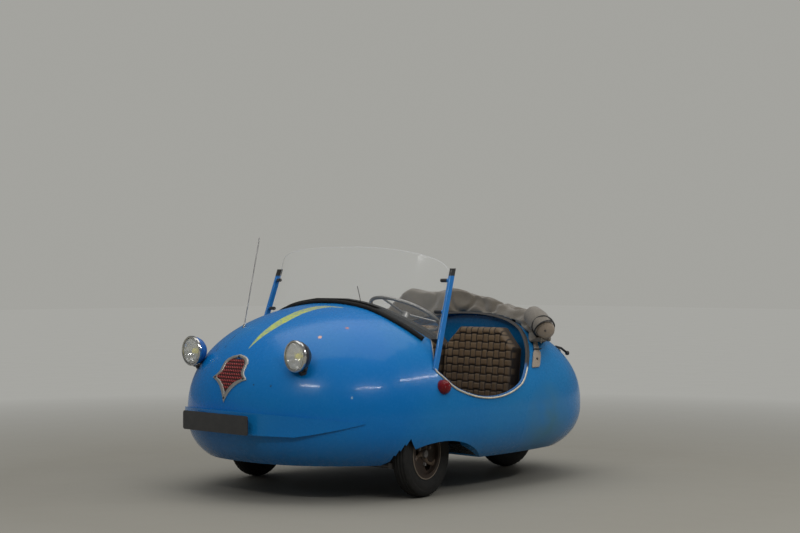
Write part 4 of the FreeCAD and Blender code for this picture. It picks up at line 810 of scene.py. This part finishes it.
# A dark sheet behind the lattice: painted shade inside the grille's opening.
rows = 22
shade_sheet = []
for row in range(rows + 1):
    z = 0.497 + (0.647 - 0.497) * row / rows
    half = shield_half(z, 0.85)
    shade_sheet += [on_nose(half * (column / 4 - 1), z, 0.0008) for column in range(9)]
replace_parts(piece("grille_shade_sheet", shade_sheet, grid_faces(rows, 8),
                  dark_paint("grille_shade_sheet", (0.040, 0.012, 0.012), 0.2), "body", "red_mesh"),
            "grille_mesh")
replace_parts(piece("grille_shield", *grille_shield(), frame_silver, "body", "polished_metal"),
            "grille_frame")
screws = []
for y, z in ((0.0, 0.6535), (0.1045, 0.5575), (-0.1045, 0.5575), (0.0, 0.468)):
    spot = on_nose(y, z, 0.0064)
    screws.append(screw(spot, (1, 0, 0.3), 0.0058))
piece("grille_screws", *joined(screws), knob_black, "body", "steel")


# Windscreen

def screen_x(y, z):
    """Where the bent sheet lies, before it is raked back."""
    bow, corner, reach = 3.0, 0.482, 0.575
    centre_x = 0.414 - bow
    sweep = math.asin(0.320 / bow)
    corner_x = centre_x + math.cos(sweep) * (bow - corner)
    corner_y = math.sin(sweep) * (bow - corner)
    y = abs(y)
    if y <= 0.320:
        plan = centre_x + math.sqrt(bow ** 2 - y ** 2)
    elif y <= reach:
        plan = corner_x + math.sqrt(corner ** 2 - (y - corner_y) ** 2)
    else:
        last = math.asin((reach - corner_y) / corner)
        plan = corner_x + corner * math.cos(last) - (y - reach) * math.tan(last)
    return plan - SCREEN_RAKE * (z - SCREEN_FOOT)


SCREEN_RAKE = 0.83 * (POST_FOOT.x - POST_TOP.x) / (POST_TOP.z - POST_FOOT.z)
SCREEN_FOOT = 0.0
sheet_hit = surface("windscreen").ray_cast(Vector((1.4, 0.0, 1.05)), Vector((-1, 0, 0)))[0]
SCREEN_FOOT = 1.05 + (sheet_hit.x - screen_x(0.0, 0.0)) / SCREEN_RAKE


def screen_foot(y, sink):
    """The point of the body under the sheet's foot at a width, or None beyond the shell."""
    low = 0.90
    for _ in range(12):
        spot, _ = drop_on_shell(screen_x(y, low), y)
        if spot is None or spot.z < SKIN_LOWEST:
            return None
        low = spot.z - sink
    return spot


def screen_sheet():
    """The clear sheet with its arched top; the edge attribute is 1 along the cut edges."""
    share = [math.sin(math.pi / 2 * step / 36) for step in range(-36, 37)]
    columns = sorted([SCREEN_EDGE * value for value in share] + [-SCREEN_EDGE + 0.003,
                                                                  SCREEN_EDGE - 0.003])
    levels = [step / 20 for step in range(20)] + [None, 1.0]
    front, edges = [], []
    low = 0.72
    for y in columns:
        rise = max(0.0, 1 - (abs(y) / SCREEN_EDGE) ** 2.6) ** (1 / 2.6)
        top = SCREEN_CORNER_TOP + (SCREEN_TOP - SCREEN_CORNER_TOP) * rise
        spot = screen_foot(y, 0.004)
        low = spot.z - 0.004 if spot else low
        for level in levels:
            z = top - 0.003 if level is None else low + (top - low) * level * 0.995
            z = top if level == 1.0 else z
            front.append(Vector((screen_x(y, z), y, z)))
            edges.append(1.0 if level == 1.0 or abs(y) > SCREEN_EDGE - 0.001 else 0.0)
    tall = len(levels)
    back = [point - Vector((0.004, 0, 0)) for point in front]
    count = len(front)
    faces = []
    for column in range(len(columns) - 1):
        for level in range(tall - 1):
            start = column * tall + level
            faces.append((start, start + tall, start + tall + 1, start + 1))
            faces.append(tuple(index + count for index in
                               (start + 1, start + tall + 1, start + tall, start)))
    rim = [level for level in range(tall)]
    rim += [column * tall + tall - 1 for column in range(1, len(columns))]
    rim += [(len(columns) - 1) * tall + level for level in range(tall - 2, -1, -1)]
    rim += [column * tall for column in range(len(columns) - 2, 0, -1)]
    for index, spot in enumerate(rim):
        follower = rim[(index + 1) % len(rim)]
        faces.append((spot, follower, follower + count, spot + count))
    return front + back, faces, edges + edges


points, faces, edges = screen_sheet()
sheet = piece("clear_sheet", points, faces, perspex.material, "body", "clear_sheet")
sheet.data.attributes.new("edge", "FLOAT", "POINT").data.foreach_set("value", edges)
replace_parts(sheet, "windscreen")


def seal_line():
    """The fat outer lip of the screen's rubber, along the sheet's foot."""
    line = []
    for step in range(-60, 61):
        y = 0.0103 * step
        spot = screen_foot(y, 0.0)
        if spot is None:
            continue
        slope = screen_x(y + 0.002, spot.z) - screen_x(y - 0.002, spot.z)
        out = Vector((0.004, -slope, 0)).normalized()
        line.append(Vector((spot.x, y, spot.z)) + out * 0.011 + Vector((0, 0, 0.005)))
    return line


piece("seal_lip", *tube(seal_line(), 0.0115, 12), black_rubber, "body", "black_rubber")


# Seats

WEAVE_CELL = 0.041
PAD_STEPS = 132
PAD_ROLL = 0.028
PAD_EDGE_DEEP = 0.024
WEAVE_DEEP = 0.007


def weave_height(across, up):
    """How far a spot of the basket weave stands out, from 0 in a crease to 1."""
    column, row = math.floor(across / WEAVE_CELL), math.floor(up / WEAVE_CELL)
    u = across / WEAVE_CELL - column - 0.5
    v = up / WEAVE_CELL - row - 0.5
    if (column + row) % 2:
        u, v = v, u
    ends = max(0.0, 1.0 - (abs(u) / 0.54) ** 7)
    sides = max(0.0, 1.0 - (abs(v) / 0.39) ** 5)
    return math.sqrt(ends * sides) * (0.85 + 0.15 * math.cos(2.4 * u))


def woven_pad(name, origin, across, up, out, half_at, length, thick, body):
    """A pad whose front is woven in blocks; half_at gives its half width at each height."""
    columns = rows = PAD_STEPS
    points, crease_shade = [], []
    for row in range(rows + 1):
        v = length * row / rows
        half = half_at(v)
        for column in range(columns + 1):
            u = half * (2 * column / columns - 1)
            margin = min(half - abs(u), v, length - v)
            roll = max(0.0, 1.0 - margin / PAD_ROLL)
            tall = weave_height(u + 0.5, v + 0.5)
            wave = noise.noise(Vector((u * 9, v * 9, origin.y * 3)))
            sunk = PAD_EDGE_DEEP * (1 - math.sqrt(1 - roll ** 2))
            depth = WEAVE_DEEP * (tall - 1) * (1 - roll) - sunk
            points.append(origin + across * u + up * v + out * (depth + 0.002 * wave - 0.001))
            # Painted shade: dark in the weave's creases and where the pad rolls away at its edges.
            crease_shade.append(min(1.0, max(0.0, 1.0 - tall * 1.25) + roll * 0.35))
    faces = grid_faces(rows, columns)
    rim = [row * (columns + 1) + columns for row in range(rows)]
    rim = list(range(columns)) + rim
    rim += [rows * (columns + 1) + column for column in range(columns, 0, -1)]
    rim += [row * (columns + 1) for row in range(rows, 0, -1)]
    last = rim
    for share in (0.3, 0.65, 1.0):
        ring = []
        for index in rim:
            point = points[index]
            flat = point - out * (point - origin).dot(out)
            bulge = 0.004 * math.sin(math.pi * share)
            middle = origin + up * (length / 2)
            ring.append(len(points))
            points.append(flat + (flat - middle).normalized() * (bulge - 0.002)
                          - out * (0.026 + (thick - PAD_ROLL) * share))
            # The pad's sides get painted shade.
            crease_shade.append(0.85)
        for index in range(len(rim)):
            follower = (index + 1) % len(rim)
            faces.append((last[index], ring[index], ring[follower], last[follower]))
        last = ring
    faces.append(tuple(last))
    made = piece(name, points, faces, brown_vinyl, body, "vinyl")
    attribute = made.data.attributes.new("crease", "FLOAT", "POINT")
    attribute.data.foreach_set("value", crease_shade)
    return made


brown_vinyl = vinyl("brown_vinyl")


def back_half(v):
    return SEAT_WIDE / 2 - 0.002 - max(0.0, v - SEAT_HIGH + SEAT_CORNER)


back_up = Vector((-math.sin(SEAT_LEAN), 0, math.cos(SEAT_LEAN)))
back_out = Vector((math.cos(SEAT_LEAN), 0, math.sin(SEAT_LEAN)))
for name, side in SIDES:
    origin = Vector((SEAT_ORIGIN.x, side * SEAT_ORIGIN.y, SEAT_ORIGIN.z))
    pad = woven_pad("woven_back_" + name, origin, Vector((0, 1, 0)), back_up, back_out,
                    back_half, SEAT_HIGH - 0.002, SEAT_THICK - 0.002, "body")
    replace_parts(pad, "seat_back_" + name)

cushion_low, cushion_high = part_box("seat_cushion")
for name, side in SIDES:
    half = (cushion_high.y - cushion_low.y) / 4 - 0.002
    origin = Vector((cushion_low.x + 0.002, side * (cushion_high.y / 2), cushion_high.z))
    length = cushion_high.x - cushion_low.x - 0.004
    pad = woven_pad("woven_cushion_" + name, origin, Vector((0, -1, 0)), Vector((1, 0, 0)),
                    Vector((0, 0, 1)), lambda v: half, length,
                    cushion_high.z - cushion_low.z - 0.002, "body")
    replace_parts(pad, "seat_cushion")


# Folded hood

def settled(source, name, voxel, rounds):
    """A rounded closed copy of a solid, as points and faces."""
    copy = placed(name, NODES[source].data.copy())
    remesh = copy.modifiers.new("remesh", "REMESH")
    remesh.mode = "VOXEL"
    remesh.voxel_size = voxel
    smooth = copy.modifiers.new("smooth", "SMOOTH")
    smooth.factor = 0.5
    smooth.iterations = rounds
    graph = bpy.context.evaluated_depsgraph_get()
    mesh = bpy.data.meshes.new_from_object(copy.evaluated_get(graph))
    bpy.data.objects.remove(copy)
    return mesh


# How much higher than its solid the canvas is heaped, along Y.
HOOD_RISE = ((-0.66, 0.000), (-0.58, 0.045), (-0.50, 0.105), (-0.42, 0.122), (-0.35, 0.095),
             (-0.28, 0.078), (-0.18, 0.080), (-0.08, 0.070), (0.00, 0.048), (0.10, 0.026),
             (0.25, 0.004), (0.45, 0.002), (0.56, 0.016), (0.66, 0.000))


def rumpled_hood():
    """The folded canvas: a fat roll with lumps, long folds and pinches across it."""
    mesh = settled("hood_roll", "hood_copy", 0.009, 14)
    normals = [vertex.normal.copy() for vertex in mesh.vertices]
    for vertex, normal in zip(mesh.vertices, normals):
        point = vertex.co
        ground, _ = drop_on_shell(point.x, point.y)
        above = point.z - (ground.z if ground else 0.83)
        share = min(1.0, max(0.0, above / 0.060))
        pulled = min(1.0, max(0.0, (abs(point.y) - 0.44) / 0.16))
        point = Vector((point.x + max(0.0, -0.525 - point.x) * 0.75 * pulled, point.y, point.z))
        lump = noise.fractal(Vector((point.x * 4, point.y * 3.2, point.z * 4 + 7)), 0.8, 2.0, 3)
        fold = noise.noise(Vector((point.x * 24, point.y * 5, point.z * 24)))
        crease = 1.0 - abs(noise.noise(Vector((point.x * 15, point.y * 6, point.z * 15 + 3))))
        pinch = math.sin(point.y * 34 + point.x * 30 + 3.0 * lump) * 0.5 + 0.5
        lift = 0.012 * lump + 0.006 * fold - 0.014 * max(0.0, crease - 0.80) / 0.20
        lift -= 0.003 * pinch
        if normal.z < 0 and share < 0.3:
            lift = min(lift, 0.0)
        rise = share * along(HOOD_RISE, point.y)
        vertex.co = point + normal * (lift + 0.003) + Vector((0.15, 0, 1)) * rise
    made = piece("rumpled_hood", [vertex.co.copy() for vertex in mesh.vertices],
                 [tuple(polygon.vertices) for polygon in mesh.polygons], canvas, "body", "canvas")
    bpy.data.meshes.remove(mesh)
    smooth = made.modifiers.new("subdivision", "SUBSURF")
    smooth.levels = smooth.render_levels = 1
    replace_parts(made, "hood_roll")
    return made


hood = rumpled_hood()
hood_skin = BVHTree.FromObject(hood, bpy.context.evaluated_depsgraph_get())


def hood_ends():
    """The rolled end on each side, its tan end disc, its black hoop and its hanging strap."""
    for name, side in SIDES:
        path = [(-0.560, 0.470, 0.830), (-0.520, 0.540, 0.808), (-0.486, 0.596, 0.784),
                (-0.462, 0.636, 0.764)]
        path = [Vector((x, side * y, z)) for x, y, z in path]
        points, faces = tube(path, [0.052, 0.056, 0.053, 0.047], 28, capped=False)
        for point in points:
            point += Vector((0.6, 0.2, 0.7)) * 0.007 * noise.noise(point * 26)
        roll = piece("hood_end_" + name, points, faces, canvas, "body", "canvas")
        end = path[-1]
        out = (path[-1] - path[-2]).normalized() + Vector((0.35, 0, 0.1))
        disc = [(0.0001, 0.010), (0.016, 0.009), (0.033, 0.005), (0.044, -0.001), (0.048, -0.008),
                (0.046, -0.014)]
        cap = piece("hood_disc_" + name, *revolve(disc, 36, end, out), tan_canvas, "body",
                    "canvas")
        stud = revolve([(0.0001, 0.013), (0.004, 0.012), (0.006, 0.008)], 14, end, out)
        hoops = []
        for share, tilt, radius in ((0.25, 0.30, 0.056), (0.75, -0.25, 0.055)):
            middle = path[2].lerp(path[3], share)
            ahead = (path[3] - path[2]).normalized() + Vector((tilt, 0, tilt))
            across = ahead.orthogonal().normalized()
            other = ahead.cross(across).normalized()
            ring = [middle + (across * math.cos(turn) + other * math.sin(turn)) * radius
                    for turn in (2 * math.pi * step / 40 for step in range(41))]
            hoops.append(tube(ring, 0.0035, 8))
        piece("hood_hoops_" + name, *joined(hoops + [stud]), knob_black, "body", "strap")
        strap_shape(name, side)


def on_flank(x, z, side, lift):
    """A point on the body's side, and the skin's direction there."""
    spot, normal = side_hit(FLANK, x, z, side)
    return spot + normal * lift, normal


def strap_shape(name, side):
    """A canvas strap that hangs from the roll, with a wide leather end."""
    corners = [vertex.co for vertex in NODES["hood_strap_" + name].data.vertices]
    lowest = min(point.z for point in corners)
    highest = max(point.z for point in corners)
    low, high = ([point.x for point in corners if abs(point.z - level) < 0.004]
                 for level in (lowest, highest))
    low_x = sum(low) / len(low)
    slope = (sum(high) / len(high) - low_x) / (highest - lowest)
    run = [(low_x + slope * (z - lowest), z, half, lift) for z, half, lift in
           ((0.725, 0.020, 0.011), (0.700, 0.021, 0.010), (0.668, 0.022, 0.009),
            (0.652, 0.028, 0.008), (0.648, 0.035, 0.009), (0.625, 0.037, 0.008),
            (0.592, 0.036, 0.007), (0.580, 0.031, 0.007))]
    points, faces = [], []
    for index, (x, z, half, lift) in enumerate(run):
        for layer in (0, 1):
            for corner in (-1, -0.4, 0.4, 1):
                point, _ = on_flank(x + corner * half, z, side, lift - 0.004 * layer)
                points.append(point)
    for index in range(len(run) - 1):
        low, high = 8 * index, 8 * (index + 1)
        for corner in range(3):
            faces.append((low + corner, low + corner + 1, high + corner + 1, high + corner))
            faces.append((low + corner + 5, low + corner + 4, high + corner + 4,
                          high + corner + 5))
        faces.append((low, high, high + 4, low + 4))
        faces.append((low + 3, low + 7, high + 7, high + 3))
    faces.append((0, 4, 7, 3))
    last = 8 * (len(run) - 1)
    faces.append((last, last + 3, last + 7, last + 4))
    piece("strap_" + name, points, faces, tan_canvas, "body", "strap", smooth=False)
    spot, _ = on_flank(low_x + slope * (0.660 - lowest), 0.660, side, 0.013)
    bar = tube([spot - Vector((0.028, 0, 0)), spot + Vector((0.028, 0, 0))], 0.004, 8)
    stud = screw(*on_flank(low_x + slope * (0.618 - lowest), 0.618, side, 0.010), 0.006)
    piece("strap_buckle_" + name, *joined([bar, stud]), knob_black, "body", "steel")


hood_ends()


# Piping round the entry

def entry_edge(side):
    """Points along the cockpit's open edge on one side, from the screen to the hood."""
    centre = Vector((-0.08, 0, 0.69))
    points = []
    for degrees in range(44, -214, -3):
        turn = math.radians(degrees)
        out = Vector((math.cos(turn), 0, math.sin(turn)))
        low, high = 0.06, 0.62
        for _ in range(26):
            middle = (low + high) / 2
            place = centre + out * middle
            spot, _ = side_hit(SHELL, place.x, place.z, side)
            if spot and side * spot.y > 0.30:
                high = middle
            else:
                low = middle
        place = centre + out * (high + 0.001)
        spot, normal = side_hit(SHELL, place.x, place.z, side)
        if spot and side * spot.y > 0.30 and high < 0.60:
            points.append(spot + normal * 0.0030 - out * 0.0015)
    return points


for name, side in SIDES:
    run = [point for point in entry_edge(side) if point.z < 0.74 or point.x > 0.0]
    piece("piping_bead_" + name, *tube(run, 0.0044, 10), bead_cream, "body", "piping")


# Tail latch and wiper

spot, normal = drop_on_shell(-0.845, 0.395)
latch = [tube([spot + normal * 0.012 + Vector((0.030, -0.010, 0.012)), spot + normal * 0.016,
               spot + normal * 0.018 + Vector((-0.030, 0.004, -0.022))], 0.006, 10),
         revolve([(0.0001, 0.012), (0.009, 0.009), (0.012, 0.0), (0.009, -0.009), (0.0001, -0.012)],
                 16, spot + normal * 0.020 + Vector((-0.038, 0.006, -0.030)), (0, 0, 1)),
         screw(spot, normal, 0.012)]
piece("tail_latch", *joined(latch), knob_black, "body", "black_paint")

foot = Vector((screen_x(0.215, 0.925) + 0.004, 0.215, 0.925))
tip = Vector((screen_x(0.180, 0.985) + 0.004, 0.180, 0.985))
piece("wiper_arm", *tube([foot - Vector((0, 0, 0.03)), foot, tip], 0.0018, 6), knob_black,
      "body", "black_paint")


# Camera, floor and light

camera_data = bpy.data.cameras.new("camera")
camera_data.lens = 74.25
camera_data.sensor_width = 36.0
camera = placed("camera", camera_data)
camera.location = (5.771, 6.126, 1.030)
camera.rotation_euler = Vector((-0.6896, -0.7242, 0.0064)).to_track_quat("-Z", "Y").to_euler()
bpy.context.scene.camera = camera

# The colour of the studio's paper, and how far its floor reaches each way.
PAPER = (0.370, 0.368, 0.345)
FLOOR_REACH = 40.0
floor_finish = Finish("pale_floor", (0.235, 0.225, 0.195), 0.6, Specular_IOR_Level=0.04)
floor_finish.cover((floor_finish.noise(0.7, 4.0) * 1.6 - 0.5).held() * 0.25, (0.20, 0.188, 0.160))
floor_finish.set("Roughness", 0.45 + floor_finish.noise(3.0) * 0.2)
far = floor_finish.far_from((0, 0, 0)).above(4.2, 4.4)
floor_finish.cover(far, (0, 0, 0))
floor_finish.set("Emission Color", floor_finish.mix(far, (0, 0, 0), PAPER))
floor_finish.shader.inputs["Emission Strength"].default_value = 1.0
floor_mesh = bpy.data.meshes.new("floor")
floor_mesh.from_pydata([(x * FLOOR_REACH, y * FLOOR_REACH, 0)
                        for x, y in ((-1, -1), (1, -1), (1, 1), (-1, 1))], [], [(0, 1, 2, 3)])
floor_mesh.materials.append(floor_finish.material)
placed("floor", floor_mesh)

world = bpy.data.worlds.new("studio")
bpy.context.scene.world = world
world.use_nodes = True
tree = world.node_tree

def world_node(kind, **sockets):
    """A node of the studio's light, with values or other nodes' outputs on its sockets."""
    made = tree.nodes.new("ShaderNode" + kind)
    for key, value in sockets.items():
        socket = made.inputs[int(key[1:]) if key[1:].isdigit() else key]
        if isinstance(value, bpy.types.NodeSocket):
            tree.links.new(value, socket)
        else:
            socket.default_value = value
    return made


# Light from above is bright, from below dim; mirrors see one grey and the camera the paper.
where = world_node("TexCoord").outputs["Generated"]
height = world_node("SeparateXYZ", _0=where).outputs["Z"]
sky = world_node("ValToRGB", _0=height)
for stop, shade in zip((sky.color_ramp.elements[0], sky.color_ramp.elements[1],
                        sky.color_ramp.elements.new(0.35)), (0.10, 0.85, 0.26)):
    stop.color = (shade, shade, shade, 1)
fill = world_node("Background", Color=sky.outputs[0], Strength=1.15)
paper = world_node("Background", Color=PAPER + (1,))
dim = world_node("Background", Color=(0.13, 0.135, 0.14, 1))
ray = world_node("LightPath").outputs
seen = world_node("MixShader", _0=ray["Is Camera Ray"], _1=fill.outputs[0], _2=paper.outputs[0])
light = world_node("MixShader", _0=ray["Is Glossy Ray"], _1=seen.outputs[0], _2=dim.outputs[0])
tree.links.new(light.outputs[0], tree.nodes["World Output"].inputs["Surface"])

# Name, place, target, size and power of each lamp.
LIGHTS = (
    ("ceiling_soft", (-0.6, -0.6, 6.2), (0.0, 0.0, 0.4), (7.0, 6.0), 170),
    ("tube_front", (3.9, 1.6, 3.0), (0.3, 0.2, 0.5), (1.2, 0.14), 26),
    ("tube_side", (1.4, 4.4, 2.9), (0.0, 0.3, 0.5), (2.0, 0.08), 34),
    ("tube_back", (-2.0, 3.8, 3.0), (-0.3, 0.2, 0.5), (2.2, 0.10), 34),
)
for name, place, target, size, power in LIGHTS:
    light = bpy.data.lights.new(name, "AREA")
    light.shape = "RECTANGLE"
    light.size, light.size_y = size
    light.energy = power
    lamp = placed(name, light)
    lamp.location = place
    lamp.rotation_euler = (Vector(target) - Vector(place)).to_track_quat("-Z", "Y").to_euler()

bpy.context.scene.view_settings.view_transform = "Standard"
